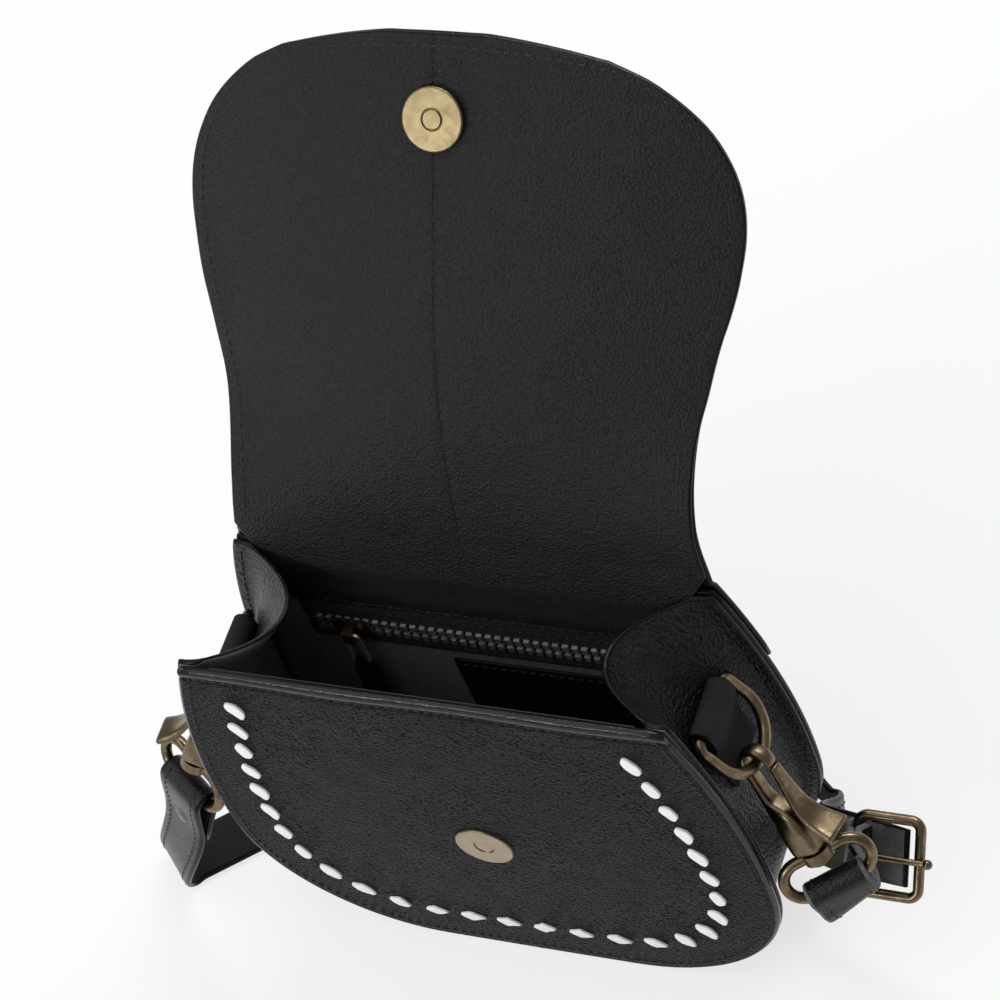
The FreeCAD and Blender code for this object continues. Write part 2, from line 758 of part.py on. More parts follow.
pull_hole_radius = size("pull_wire_diameter") / 2 + size("pull_pin_clearance")
slider = slider_block(size("slider_length"), size("slider_width"), plate_front, plate_back)
slider = slider.fuse([
    slider_block(size("slider_length"), size("slider_width"), rear_front, rear_back),
    slider_block(size("slider_bridge_length"), size("slider_bridge_width"), plate_back, rear_front),
    slider_block(size("crown_length"), size("crown_width"), crown_front, plate_front),
])
pull_hole_start = pull_centre - X_AXIS * size("slider_length")
slider = slider.cut(Part.makeCylinder(pull_hole_radius, 2 * size("slider_length"), pull_hole_start, X_AXIS))
add_shape("zip_slider", slider.removeSplitter())


def loop_solid(half_length, height, top_radius, bottom_radius, wire_radius):
    """Round wire bent into a closed loop: its top bar lies along X through the origin, its height down -Y."""
    pieces = []

    def rod(first, last):
        if (last - first).Length > wire_radius / ROUTE_STEPS:
            pieces.append(Part.makeCylinder(wire_radius, (last - first).Length, first, last - first))

    def bend(centre, radius, start):
        cosine, sine = turned(start)
        place = centre + Vector(cosine, sine, 0) * radius
        disc = Part.Face(Part.Wire(Part.makeCircle(wire_radius, place, Vector(-sine, cosine, 0))))
        pieces.append(disc.revolve(centre, Z_AXIS, 90))

    top = half_length - top_radius
    low = half_length - bottom_radius
    rod(Vector(-top, 0, 0), Vector(top, 0, 0))
    rod(Vector(-low, -height, 0), Vector(low, -height, 0))
    for side in (1, -1):
        rod(Vector(side * half_length, -top_radius, 0), Vector(side * half_length, bottom_radius - height, 0))
    bend(Vector(top, -top_radius, 0), top_radius, 0)
    bend(Vector(-top, -top_radius, 0), top_radius, 90)
    bend(Vector(-low, bottom_radius - height, 0), bottom_radius, 180)
    bend(Vector(low, bottom_radius - height, 0), bottom_radius, 270)
    return pieces[0].fuse(pieces[1:]).removeSplitter()


pull_radius = size("pull_wire_diameter") / 2
pull_half = size("pull_width") / 2 - pull_radius
pull_bend = pull_radius + size("pull_pin_clearance") + size("fit_gap")
pull_drop = size("pull_length") - size("pull_wire_diameter")
pull = add_shape("zip_pull", loop_solid(pull_half, pull_drop, pull_bend, pull_bend, pull_radius))
pull.Placement = FreeCAD.Placement(pull_centre, front_facing)
puller_neck = size("pull_width") - 2 * size("pull_wire_diameter") - size("lever_gap")
puller_half = size("puller_thickness") / 2


def puller_block(width, top, bottom):
    """Box of the puller between two heights below the pull's top bar."""
    low = pull_centre + Vector(-width / 2, -puller_half, -bottom)
    high = pull_centre + Vector(width / 2, puller_half, -top)
    return box_between(low, high)


neck_top = pull_drop - puller_half
neck_bottom = pull_drop + puller_half
puller = puller_block(puller_neck, neck_top, neck_bottom)
puller = puller.fuse(puller_block(size("puller_width"), neck_bottom, neck_bottom + size("puller_length")))
bar_start = pull_centre - X_AXIS * size("puller_width") - Z_AXIS * pull_drop
puller = puller.cut(Part.makeCylinder(pull_hole_radius, 2 * size("puller_width"), bar_start, X_AXIS))
add_shape("zip_puller", puller.removeSplitter())

# Side tab, cut to lie on the bowed side wall, and its D-ring
wire_radius = size("ring_wire_diameter") / 2
d_half = size("d_ring_width") / 2 - wire_radius
ring_side_share = 1 - (d_half / band_half) ** 2
ridge_height = size("back_height") - size("tab_ridge_drop")
bar_wall = half_width(lip, ridge_height) - bow_at(ridge_height) * ring_side_share
bar_centre = Vector(bar_wall + wire_radius + size("bar_wall_clearance"), 0, ridge_height)
tab_cosine, tab_sine = turned(TAB_LEAN)
tab_down = Vector(tab_sine, 0, -tab_cosine)
tab_out = Vector(tab_cosine, 0, tab_sine)
bar_hole_radius = wire_radius + size("bar_clearance")
tab_round = bar_hole_radius + size("tab_leather")
tab_half = size("tab_width") / 2
ring_cosine, ring_sine = turned(D_RING_LEAN)
hang = Vector(ring_sine, 0, -ring_cosine)
ring_out = Vector(ring_cosine, 0, ring_sine)

wall_tool_body = doc.addObject("PartDesign::Body", "wall_tool")
loft_side(wall_tool_body, "wall_tool_loft", size("gusset_thickness") + size("tab_backing"))
doc.recompute()
slab = Part.makeBox(size("tab_backing") + size("tab_stack") - tab_round, size("tab_width"), size("tab_length"),
                    Vector(-size("tab_backing"), -tab_half, -size("tab_length")))
slab.Placement = frame_placement(bar_centre, tab_out, Y_AXIS, tab_down * -1)
fold_round = Part.makeCylinder(tab_round, size("tab_width"), bar_centre - Y_AXIS * tab_half, Y_AXIS)
tab = slab.fuse(fold_round).cut(wall_tool_body.Shape)
bar_hole_start = bar_centre - Y_AXIS * size("tab_width")
tab = tab.cut(Part.makeCylinder(bar_hole_radius, 2 * size("tab_width"), bar_hole_start, Y_AXIS))
tab = max(tab.Solids, key=lambda solid: solid.Volume)
tab_right = add_shape("side_tab_right", tab)
mirrored(tab_right, "side_tab_left")

d_ring_right = add_shape("d_ring_right", loop_solid(d_half, size("d_ring_depth"), size("d_ring_corner_radius"),
                                                    d_half, wire_radius))
d_ring_right.Placement = frame_placement(bar_centre, Y_AXIS, hang * -1, Y_AXIS.cross(hang * -1))
mirrored(d_ring_right, "d_ring_left")

# Swivel hook on the D-ring's round, in a frame whose Z runs from the swivel up to the wire
place_cosine, place_sine = turned(HOOK_PLACE_ANGLE)
lift_cosine, lift_sine = turned(HOOK_LIFT_ANGLE)
radial = hang * place_cosine - Y_AXIS * place_sine
wire_along = Y_AXIS * place_cosine + hang * place_sine
hook_origin = bar_centre + hang * (size("d_ring_depth") - d_half) + radial * d_half
hook_down = radial * lift_cosine + ring_out * lift_sine
hook_up = hook_down * -1
hook_out = wire_along.cross(hook_up)
hook_frame = frame_placement(hook_origin, hook_out, wire_along, hook_up)

nose_inner = size("nose_inner_radius")
nose_outer = nose_inner + size("nose_wall")
block_top = -size("block_top_drop")
block_bottom = -size("block_bottom_drop")
tip = -size("nose_tip_drop")
pivot = (size("lever_pivot_reach"), -size("lever_pivot_drop"))
hook = new_body("hook_right")
nose_points = [(nose_outer, 0), (nose_outer, tip), (nose_inner, tip), (nose_inner, 0)]
shank_points = [(-nose_inner, 0), (-nose_inner, block_top), (-nose_outer, block_top), (-nose_outer, 0)]
nose_edges = polygon(nose_points)[:3] + polygon(shank_points)[:3]
nose_edges.append(arc_about((0, 0), nose_outer, 0, math.pi, 1))
nose_edges.append(arc_about((0, 0), nose_inner, 0, math.pi, 1))
add_pad(hook, "hook_nose", "XZ_Plane", nose_edges, "Sizes.nose_width", symmetric=True)
add_pad(hook, "hook_block", "XZ_Plane",
        rectangle(-nose_outer, block_bottom, size("block_outer_reach"), block_top), "Sizes.block_width",
        symmetric=True)
add_pad(hook, "lever_slot", "XZ_Plane",
        rectangle(-size("slot_inner_reach"), block_top - size("slot_length"),
                  size("block_outer_reach") + size("cut_overrun"), block_top + size("cut_overrun")),
        "Sizes.slot_width", symmetric=True, cut=True)
add_pad(hook, "lever_pin", "XZ_Plane", circle(*pivot, size("lever_pin_diameter") / 2), "Sizes.block_width",
        symmetric=True)
add_pad(hook, "swivel_post", "XY_Plane", circle(0, 0, size("post_diameter") / 2),
        "Sizes.collar_thickness + 2 * Sizes.collar_gap + Sizes.post_head_height",
        offset="-Sizes.block_bottom_drop", reverse=True)
add_pad(hook, "post_head", "XY_Plane", circle(0, 0, size("post_head_diameter") / 2), "Sizes.post_head_height",
        offset="-Sizes.block_bottom_drop - Sizes.collar_thickness - 2 * Sizes.collar_gap", reverse=True)
hook.Placement = hook_frame
mirrored(hook, "hook_left")

# Sprung lever that closes the hook
THUMB_START_SHARE = 0.6
lever_inner = nose_inner + size("lever_gap")
lever_outer = lever_inner + size("lever_thickness")
lever_top = tip - size("lever_gap")
boss_radius = size("lever_boss_diameter") / 2
elbow_outer = (lever_outer, pivot[1] + size("lever_thickness") / 2)
elbow_inner = (lever_inner, pivot[1] - size("lever_thickness") / 2)
thumb_outer = (size("thumb_reach"), -size("thumb_drop"))
thumb_inner = (thumb_outer[0] - size("nose_tip_drop"), thumb_outer[1] - size("nose_tip_drop"))


def along(first, last, share):
    """Point at a share of the way between two (x, y) points."""
    return (first[0] + share * (last[0] - first[0]), first[1] + share * (last[1] - first[1]))


lever = new_body("lever_right")
lever_points = [(lever_inner, lever_top), (lever_outer, lever_top), elbow_outer, thumb_outer, thumb_inner,
                elbow_inner]
add_pad(lever, "lever_plate", "XZ_Plane", polygon(lever_points), "Sizes.lever_width", symmetric=True)
thumb_points = [along(elbow_outer, thumb_outer, THUMB_START_SHARE), thumb_outer, thumb_inner,
                along(elbow_inner, thumb_inner, THUMB_START_SHARE)]
add_pad(lever, "thumb_plate", "XZ_Plane", polygon(thumb_points), "Sizes.thumb_width", symmetric=True)
add_pad(lever, "lever_boss", "XZ_Plane", circle(*pivot, boss_radius), "Sizes.lever_width", symmetric=True)
add_pad(lever, "lever_bore", "XZ_Plane",
        circle(*pivot, size("lever_pin_diameter") / 2 + size("pin_clearance")), "Sizes.block_width",
        symmetric=True, cut=True)
lever.Placement = hook_frame
mirrored(lever, "lever_left")

# Swivel eye that the strap hangs on
eye_along = across_only(Vector(*EYE_ALONG_SHARES), hook_down)
tab_direction = across_only(Vector(*TAB_DIRECTION_SHARES), eye_along)
eye_drop = size("block_bottom_drop") + size("collar_gap") + size("collar_thickness") / 2
eye_height = size("eye_width") - 2 * wire_radius
eye_half = size("eye_length") / 2 - wire_radius
eye = loop_solid(eye_half, eye_height, eye_height / 2, eye_height / 2, wire_radius)
collar_low = Vector(0, -size("collar_thickness") / 2, 0)
eye = eye.fuse(Part.makeCylinder(size("collar_diameter") / 2, size("collar_thickness"), collar_low, Y_AXIS))
post_bore = size("post_diameter") / 2 + size("post_clearance")
eye = eye.cut(Part.makeCylinder(post_bore, 2 * size("collar_thickness"), collar_low * 2, Y_AXIS))
eye_top = hook_origin + hook_down * eye_drop
eye_right = add_shape("eye_ring_right", eye.removeSplitter())
eye_right.Placement = frame_placement(eye_top, eye_along, hook_up, eye_along.cross(hook_up))
mirrored(eye_right, "eye_ring_left")
eye_bar = eye_top + hook_down * eye_height


# Strap: bands of leather that wrap the eyes, lie on edge on the floor and end in the buckle

def strap_loop(centre, along_bar, leg, hole_radius, leg_length):
    """Doubled strap wrapped round a bar, its two layers running off along the leg."""
    leather = size("strap_thickness")
    width = size("strap_width")
    start = centre - along_bar * (width / 2)
    wrap = Part.makeCylinder(hole_radius + leather, width, start, along_bar)
    layers = Part.makeBox(2 * leather, width, leg_length, Vector(-leather, -width / 2, -leg_length))
    layers.Placement = frame_placement(centre, along_bar.cross(leg * -1), along_bar, leg * -1)
    bore = Part.makeCylinder(hole_radius, 2 * width, centre - along_bar * width, along_bar)
    return wrap.fuse(layers).cut(bore).removeSplitter()


def band_section(place, forward, width_dir, thickness):
    """Rectangle of the band's cross-section at one place."""
    flat_dir = across_only(width_dir, forward)
    thick_dir = forward.cross(flat_dir)
    half_wide = size("strap_width") / 2 - size("fit_gap")
    corners = []
    for across, through in ((1, 1), (-1, 1), (-1, -1), (1, -1)):
        corners.append(place + flat_dir * (across * half_wide) + thick_dir * (through * thickness / 2))
    return Part.makePolygon(corners + corners[:1])


def floor_height(station, thickness):
    """Height of a station whose band lies with its lowest edge on the floor."""
    flat_dir = across_only(station[2], station[1])
    thick_dir = station[1].cross(flat_dir)
    return abs(flat_dir.z) * size("strap_width") / 2 + abs(thick_dir.z) * thickness / 2


def resting(station, thickness):
    """Station moved up or down so that the band's lowest edge lies on the floor."""
    return (Vector(station[0].x, station[0].y, floor_height(station, thickness)), station[1], station[2])


def above_floor(station, thickness):
    """Station raised where its band would go under the floor."""
    height = max(station[0].z, floor_height(station, thickness))
    return (Vector(station[0].x, station[0].y, height), station[1], station[2])


def swing_stations(first, last, pull, steps):
    """Stations (place, direction, width direction) of a free bend between two end stations."""
    stations = []
    for number in range(steps + 1):
        share = number / steps
        rest = 1 - share
        place = (first[0] * (rest ** 2 * (1 + 2 * share)) + first[1] * (pull * share * rest ** 2)
                 + last[0] * (share ** 2 * (1 + 2 * rest)) - last[1] * (pull * rest * share ** 2))
        slope = ((last[0] - first[0]) * (6 * share * rest) + first[1] * (pull * rest * (1 - 3 * share))
                 + last[1] * (pull * share * (1 - 3 * rest)))
        width_dir = first[2] * rest + last[2] * share
        stations.append((place, unit(slope), width_dir))
    return stations


def band_solid(stations, thickness):
    """Band of leather through a list of stations."""
    sections = [band_section(place, forward, width_dir, thickness) for place, forward, width_dir in stations]
    return Part.makeLoft(sections, True, True)


def mirror_x(vector):
    """Vector mirrored to the left side."""
    return Vector(-vector.x, vector.y, vector.z)


leather = size("strap_thickness")
eye_hole = wire_radius + size("eye_clearance")
left_bar = mirror_x(eye_bar)
left_along = mirror_x(eye_along) * -1
left_leg = across_only(Vector(*LEG_DIRECTION_SHARES), left_along)
left_thick = left_along.cross(left_leg * -1)
left_loop = strap_loop(left_bar, left_along, left_leg, eye_hole, size("loop_leg_length"))

# Buckle frame of axes: bars, strap direction and front
bar_dir = unit(Vector(*BUCKLE_BAR_SHARES))
buckle_front = X_AXIS.cross(bar_dir)
buckle_centre = eye_bar + Vector(size("buckle_reach"), size("buckle_setback"), -size("buckle_drop"))
buckle_radius = size("buckle_wire_diameter") / 2
buckle_height = size("buckle_length") - 2 * buckle_radius
heel = buckle_centre - X_AXIS * (buckle_height / 2)

# Floor route of the strap: down the left leg, flat for a little, then twisted on edge
plan = [Vector(x, y, 0) * size("strap_plan_length") for x, y in STRAP_PLAN_SHARES]
flat_plan = [Vector(x, y, 0) * size("strap_plan_length") for x, y in FLAT_PLAN_SHARES]
flat_dir = unit(flat_plan[1] - flat_plan[0])
flat_width = flat_dir.cross(Z_AXIS)
route = Part.BSplineCurve()
route.interpolate(plan)
floor_stations = []
for number in range(ROUTE_STEPS + 1):
    place_share = route.FirstParameter + (route.LastParameter - route.FirstParameter) * number / ROUTE_STEPS
    floor_stations.append((route.value(place_share), unit(route.tangent(place_share)[0]), Z_AXIS * -1))
twist = swing_stations((flat_plan[1], flat_dir, flat_width), floor_stations[0], size("strap_twist_pull"),
                       BAND_STEPS)
floor_stations = [resting(station, leather) for station in twist[:-1] + floor_stations]
leg_end = left_bar + left_leg * (size("loop_leg_length") - leather) + left_thick * (leather / 2)
turn_along = left_along if left_along.dot(flat_width) > 0 else left_along * -1
flat_start = resting((flat_plan[0], flat_dir, flat_width), leather)
left_turn = swing_stations((leg_end, left_leg, turn_along), flat_start, size("strap_turn_pull"), BAND_STEPS)
left_turn = [above_floor(station, leather) for station in left_turn]
strap_entry = heel - buckle_front * size("strap_behind_heel")
strap_tip = buckle_centre + X_AXIS * size("strap_tip_reach") - buckle_front * (buckle_radius / 2)
lead_dir = unit(strap_tip - strap_entry)
lead_in = strap_entry - lead_dir * (size("buckle_length") / 2)
lead_width = bar_dir * -1
right_lead = swing_stations(floor_stations[-1], (lead_in, lead_dir, lead_width), size("strap_lead_pull"),
                            BAND_STEPS)
strap_stations = left_turn + floor_stations + right_lead[1:] + [(strap_tip, lead_dir, lead_width)]
strap_length = sum((b[0] - a[0]).Length for a, b in zip(strap_stations, strap_stations[1:]))
strap = left_loop.fuse(band_solid(strap_stations, leather - 2 * size("fit_gap")))
rivet_place = left_bar + left_leg * size("rivet_drop")
rivet_hole = size("rivet_shank_diameter") / 2 + size("fit_gap")
rivet_start = rivet_place - left_thick * (leather + size("rivet_head_height"))
rivet_span = 2 * (leather + size("rivet_head_height"))
add_shape("strap", strap.cut(Part.makeCylinder(rivet_hole, rivet_span, rivet_start, left_thick)))
rivet = Part.makeCylinder(size("rivet_shank_diameter") / 2, rivet_span, rivet_start, left_thick)
rivet_head = size("rivet_head_diameter") / 2
for place in (rivet_start, rivet_place + left_thick * leather):
    rivet = rivet.fuse(Part.makeCylinder(rivet_head, size("rivet_head_height"), place, left_thick))
add_shape("strap_rivet", rivet.removeSplitter())

# Short strap tab between the right eye and the buckle's heel bar

def round_sections(centre, leg, forward, along_bar, radius):
    """Sections of doubled leather that rounds off about a bar, from the far side towards the leg."""
    sections = []
    for depth_share in LOOP_DEPTH_SHARES:
        thickness = 2 * radius * math.sqrt(1 - depth_share ** 2)
        sections.append(band_section(centre + leg * (depth_share * radius), forward, along_bar, thickness))
    return sections


def bar_bore(centre, along_bar, radius):
    """Bore for a bar through the strap's whole width."""
    width = size("strap_width")
    return Part.makeCylinder(radius, 2 * width, centre - along_bar * width, along_bar)


heel_leg = across_only(eye_bar - heel, bar_dir)
heel_hole = buckle_radius + size("bar_clearance")
tab_start = eye_bar + tab_direction * size("tab_leg_length")
tab_end = heel + heel_leg * size("tab_leg_length")
heel_along = bar_dir if bar_dir.dot(eye_along) > 0 else bar_dir * -1
tab_run = swing_stations((tab_start, tab_direction, eye_along), (tab_end, heel_leg * -1, heel_along),
                         size("tab_pull"), BAND_STEPS)
eye_round = round_sections(eye_bar, tab_direction, tab_direction, eye_along, eye_hole + leather)
heel_round = round_sections(heel, heel_leg, heel_leg * -1, heel_along, heel_hole + leather)
tab_sections = eye_round + [band_section(*station, 2 * leather) for station in tab_run] + heel_round[::-1]
strap_tab = Part.makeLoft(tab_sections, True, True)
strap_tab = strap_tab.cut(bar_bore(eye_bar, eye_along, eye_hole)).cut(bar_bore(heel, heel_along, heel_hole))
prong_outer = heel_hole + (size("prong_diameter") / 2)
slot_half = size("prong_width") / 2 + size("prong_slot_clearance")
slot_reach = size("prong_slot_reach")
slot_depth = heel_hole + leather + size("cut_overrun")
prong_slot = Part.makeBox(2 * slot_depth, 2 * slot_half, slot_depth + slot_reach,
                          Vector(-slot_depth, -slot_half, -slot_reach))
prong_slot.Placement = frame_placement(heel, heel_along.cross(heel_leg * -1), heel_along, heel_leg * -1)
strap_tab = strap_tab.cut(prong_slot).removeSplitter()
add_shape("strap_tab", strap_tab)

# Buckle frame and prong
buckle_half = size("buckle_width") / 2 - buckle_radius
buckle = add_shape("buckle_frame", loop_solid(buckle_half, buckle_height, size("buckle_corner_radius"),
                                              size("buckle_corner_radius"), buckle_radius))
buckle.Placement = frame_placement(heel, bar_dir, X_AXIS * -1, buckle_front)
prong_start = heel - bar_dir * (size("prong_width") / 2)
prong = Part.makeCylinder(prong_outer, size("prong_width"), prong_start, bar_dir)
prong_radius = size("prong_diameter") / 2
prong_rest = buckle_radius + prong_radius + size("pull_pin_clearance")
ball_radius = size("prong_ball_diameter") / 2
shaft_start = heel + buckle_front * (prong_outer - prong_radius)
shaft_end = heel + X_AXIS * (size("buckle_length") - buckle_radius + ball_radius) + buckle_front * prong_rest
prong = prong.fuse(Part.makeCylinder(prong_radius, (shaft_end - shaft_start).Length, shaft_start,
                                     shaft_end - shaft_start))
prong = prong.fuse(Part.makeSphere(ball_radius, shaft_end))
prong_bore = buckle_radius + size("pin_clearance")
bore_start = heel - bar_dir * size("prong_width")
prong = prong.cut(Part.makeCylinder(prong_bore, 2 * size("prong_width"), bore_start, bar_dir))
add_shape("buckle_prong", prong.removeSplitter())

doc.recompute()

# Move everything so that the origin is under the middle of the whole part
box = FreeCAD.BoundBox()
for node in nodes:
    box.add(node.Shape.optimalBoundingBox(False))
shift = Vector(-box.Center.x, -box.Center.y, -box.ZMin)
for node in nodes:
    if node.TypeId == "Part::Mirroring":
        node.Base = Vector(shift.x, 0, 0)
    else:
        node.Placement = FreeCAD.Placement(shift, FreeCAD.Rotation()).multiply(node.Placement)
doc.recompute()

# Check every object, then write one file for each node
for entry in doc.Objects:
    if "Invalid" in entry.State or "Error" in entry.State:
        raise RuntimeError("failed object: " + entry.Name)
for node in nodes:
    if node.Shape.isNull() or not node.Shape.isValid():
        raise RuntimeError("bad shape: " + node.Label)
    for solid in node.Shape.Solids:
        if solid.Volume <= 0:
            raise RuntimeError("empty solid: " + node.Label)
os.makedirs("parts", exist_ok=True)
for node in nodes:
    node.Shape.exportStep("parts/" + node.Label + ".step")

# Print what the joints and openings are placed by
print("box", box.XLength, box.YLength, box.ZLength, "shift", tuple(shift))
print("strap length", strap_length + size("loop_leg_length"))
for name, place, axis in (
        ("flap_top", hinge, X_AXIS), ("flap_front", fold, X_AXIS), ("slider", pull_centre, X_AXIS),
        ("pull", pull_centre, X_AXIS), ("d_ring", bar_centre, Y_AXIS), ("hook", hook_origin, hook_down),
        ("lever", hook_frame.multVec(Vector(pivot[0], 0, pivot[1])), wire_along), ("prong", heel, bar_dir),
        ("eye_bar", eye_bar, eye_along), ("stud", flap_front_frame.multVec(Vector(0, 0, stud_run)), Y_AXIS)):
    print(name, [round(v, 4) for v in place + shift], [round(v, 5) for v in axis])
print("slider travel", slider_travel, "closed draw angle", closed_draw_angle)
for node in nodes:
    print(node.Label, len(node.Shape.Solids), round(node.Shape.Volume, 1))
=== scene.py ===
"""Looks of a small saddle handbag with its flap open and its strap clipped on, built around its CAD part."""

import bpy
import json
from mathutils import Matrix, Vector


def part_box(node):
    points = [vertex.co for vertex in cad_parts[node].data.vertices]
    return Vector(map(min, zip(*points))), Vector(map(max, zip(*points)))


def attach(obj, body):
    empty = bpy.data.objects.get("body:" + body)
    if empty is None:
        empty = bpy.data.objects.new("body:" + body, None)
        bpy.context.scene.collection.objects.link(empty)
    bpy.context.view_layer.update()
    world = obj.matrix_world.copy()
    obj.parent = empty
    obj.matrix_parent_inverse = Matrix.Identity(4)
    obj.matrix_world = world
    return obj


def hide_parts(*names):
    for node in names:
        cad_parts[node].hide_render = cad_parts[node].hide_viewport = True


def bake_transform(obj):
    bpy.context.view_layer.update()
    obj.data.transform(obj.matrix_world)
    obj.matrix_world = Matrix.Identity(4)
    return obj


bl_info = {
    "name": "Saddle handbag",
    "version": (1, 0, 0),
    "blender": (4, 5, 0),
    "location": "View3D > Sidebar > Handbag",
    "description": "Builds the leather, metal and studio of a saddle handbag around its CAD part",
    "category": "Object",
}

import json
import math

import bmesh
import bpy
from mathutils import Matrix, Vector

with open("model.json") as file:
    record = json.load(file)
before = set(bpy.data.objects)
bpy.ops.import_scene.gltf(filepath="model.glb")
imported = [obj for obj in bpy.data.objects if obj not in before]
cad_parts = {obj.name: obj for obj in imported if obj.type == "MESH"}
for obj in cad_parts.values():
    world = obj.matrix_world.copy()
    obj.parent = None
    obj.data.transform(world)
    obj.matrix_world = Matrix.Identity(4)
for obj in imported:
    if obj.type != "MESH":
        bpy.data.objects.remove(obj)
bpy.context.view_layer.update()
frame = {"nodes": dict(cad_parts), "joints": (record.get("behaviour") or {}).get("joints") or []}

MM = 0.001
TINY = 1e-9
X_AXIS = Vector((1, 0, 0))
Y_AXIS = Vector((0, 1, 0))
Z_AXIS = Vector((0, 0, 1))

# The bag's own origin lies on the floor under the middle of its two panels
front_low, front_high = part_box("front_panel")
back_low, back_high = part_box("back_panel")
BAG_ORIGIN = Vector(((front_low.x + front_high.x) / 2, (front_low.y + back_high.y) / 2, front_low.z))
BAG_DEPTH = back_high.y - front_low.y


def spot(x, y, z):
    """Point of the bag given from the bag's own origin."""
    return BAG_ORIGIN + Vector((x, y, z))


def joint(name):
    """Place and axis of one of the part's hinges."""
    found = [entry for entry in frame["joints"] if entry["name"] == name][0]
    return Vector(found["pos_m"]), Vector(found["axis"]).normalized()


# Sizes and colours that a user may change

def length(label, words, value):
    """A length that a user may change."""
    return bpy.props.FloatProperty(name=label, description=words, default=value, min=0.0, precision=4, unit="LENGTH")


def paint(label, words, value):
    """A colour that a user may change."""
    return bpy.props.FloatVectorProperty(name=label, description=words, default=value, min=0.0, max=1.0, size=3,
                                         subtype="COLOR")


class HandbagSizes(bpy.types.PropertyGroup):
    """Sizes of the leather and the stitching."""

    panel_height: length("Panel height", "Height of the front panel", front_high.z - front_low.z)
    back_height: length("Back height", "Height of the back panel", back_high.z - back_low.z)
    top_width: length("Top width", "Width of the front panel at its top edge", 146 * MM)
    wide_width: length("Wide width", "Greatest width of the panels", front_high.x - front_low.x)
    wide_height: length("Wide height", "Height at which the panels are widest", 62 * MM)
    corner_radius: length("Corner radius", "Radius of the panels' lower corners", 56 * MM)
    panel_leather: length("Panel leather", "Thickness of the panels", 2.4 * MM)
    seam_lip: length("Seam lip", "Width of the gusset's seam lips", 4.5 * MM)
    gusset_leather: length("Gusset leather", "Thickness of the gusset", 1.8 * MM)
    gusset_bow: length("Gusset bow", "How far the gusset folds inward at its top", 20 * MM)
    puff: length("Panel puff", "How far the panels swell in their middle", 1.3 * MM)
    stitch_pitch: length("Stitch pitch", "Distance from stitch to stitch", 3.0 * MM)
    stitch_length: length("Stitch length", "Length of one stitch", 2.2 * MM)
    stitch_radius: length("Stitch radius", "Radius of the sewing thread", 0.3 * MM)
    roll_depth: length("Roll depth", "Height of the front panel's rolled top edge", 4.6 * MM)
    stitch_inset: length("Stitch inset", "Distance of the seams from an edge", 3.4 * MM)
    lace_inset: length("Lace inset", "Distance of the lacing from the panel's edge", 17.5 * MM)
    lace_length: length("Lace length", "Length of one lace stitch", 7.4 * MM)
    lace_width: length("Lace width", "Width of one lace stitch", 4.5 * MM)
    lace_height: length("Lace height", "Height of one lace stitch above the leather", 0.9 * MM)
    flap_leather: length("Flap leather", "Thickness of the flap with its lining", 3.7 * MM)
    flap_lining_share: bpy.props.FloatProperty(name="Lining share", default=0.43, min=0.1, max=0.9,
                                               description="Share of the flap's thickness that is lining")
    flap_curl: length("Flap curl", "How far the flap's sides curl back", 17 * MM)
    strap_width: length("Strap width", "Width of the shoulder strap", 19 * MM)
    strap_leather: length("Strap leather", "Thickness of the shoulder strap", 2.2 * MM)


class HandbagColours(bpy.types.PropertyGroup):
    """Colours of the leather, the thread, the metal and the studio."""

    leather: paint("Leather", "Black pebbled leather", (0.0065, 0.0066, 0.0072))
    gusset: paint("Gusset", "Black leather of the gusset and the tabs", (0.0065, 0.0065, 0.007))
    lining: paint("Flap lining", "Black leather of the flap's inside", (0.0118, 0.012, 0.0132))
    raw_edge: paint("Raw edge", "Cut edges of the linings", (0.05, 0.038, 0.033))
    edge: paint("Edge paint", "Painted edges of the leather", (0.006, 0.006, 0.0062))
    suede: paint("Suede", "Grey flesh side of the strap", (0.115, 0.118, 0.12))
    thread: paint("Thread", "Black sewing thread", (0.006, 0.006, 0.006))
    lace: paint("Lace", "White lace on the front", (0.97, 0.965, 0.965))
    # Painted light: the cloth is set much lighter than the dark cloth it stands for, to stand in for light that
    # hardly reaches inside the bag
    cloth: paint("Cloth", "Dark cloth inside the bag", (0.13, 0.125, 0.12))
    antique: paint("Antique brass", "Rubbed antique brass", (0.2, 0.152, 0.092))
    gold: paint("Gold brass", "Brass of the flap's snap", (0.185, 0.146, 0.079))
    pale: paint("Pale brass", "Pale brass of the front snap", (0.38, 0.305, 0.215))
    # Painted light: the zip metal is set lighter than the teeth's own metal, to stand in for light that hardly
    # reaches inside the bag
    zip_metal: paint("Zip metal", "Metal of the zip's teeth", (0.9, 0.88, 0.85))
    floor: paint("Floor", "Pale studio floor", (0.86, 0.86, 0.87))


# Putting meshes together

# Share of the length, share of the radius and depth in radii of each ring of a stitch
STITCH_RINGS = ((-0.5, 0.55, 0.9), (-0.3, 0.95, 0.25), (0.0, 1.0, 0.0), (0.3, 0.95, 0.25), (0.5, 0.55, 0.9))
STITCH_CORNERS = 6


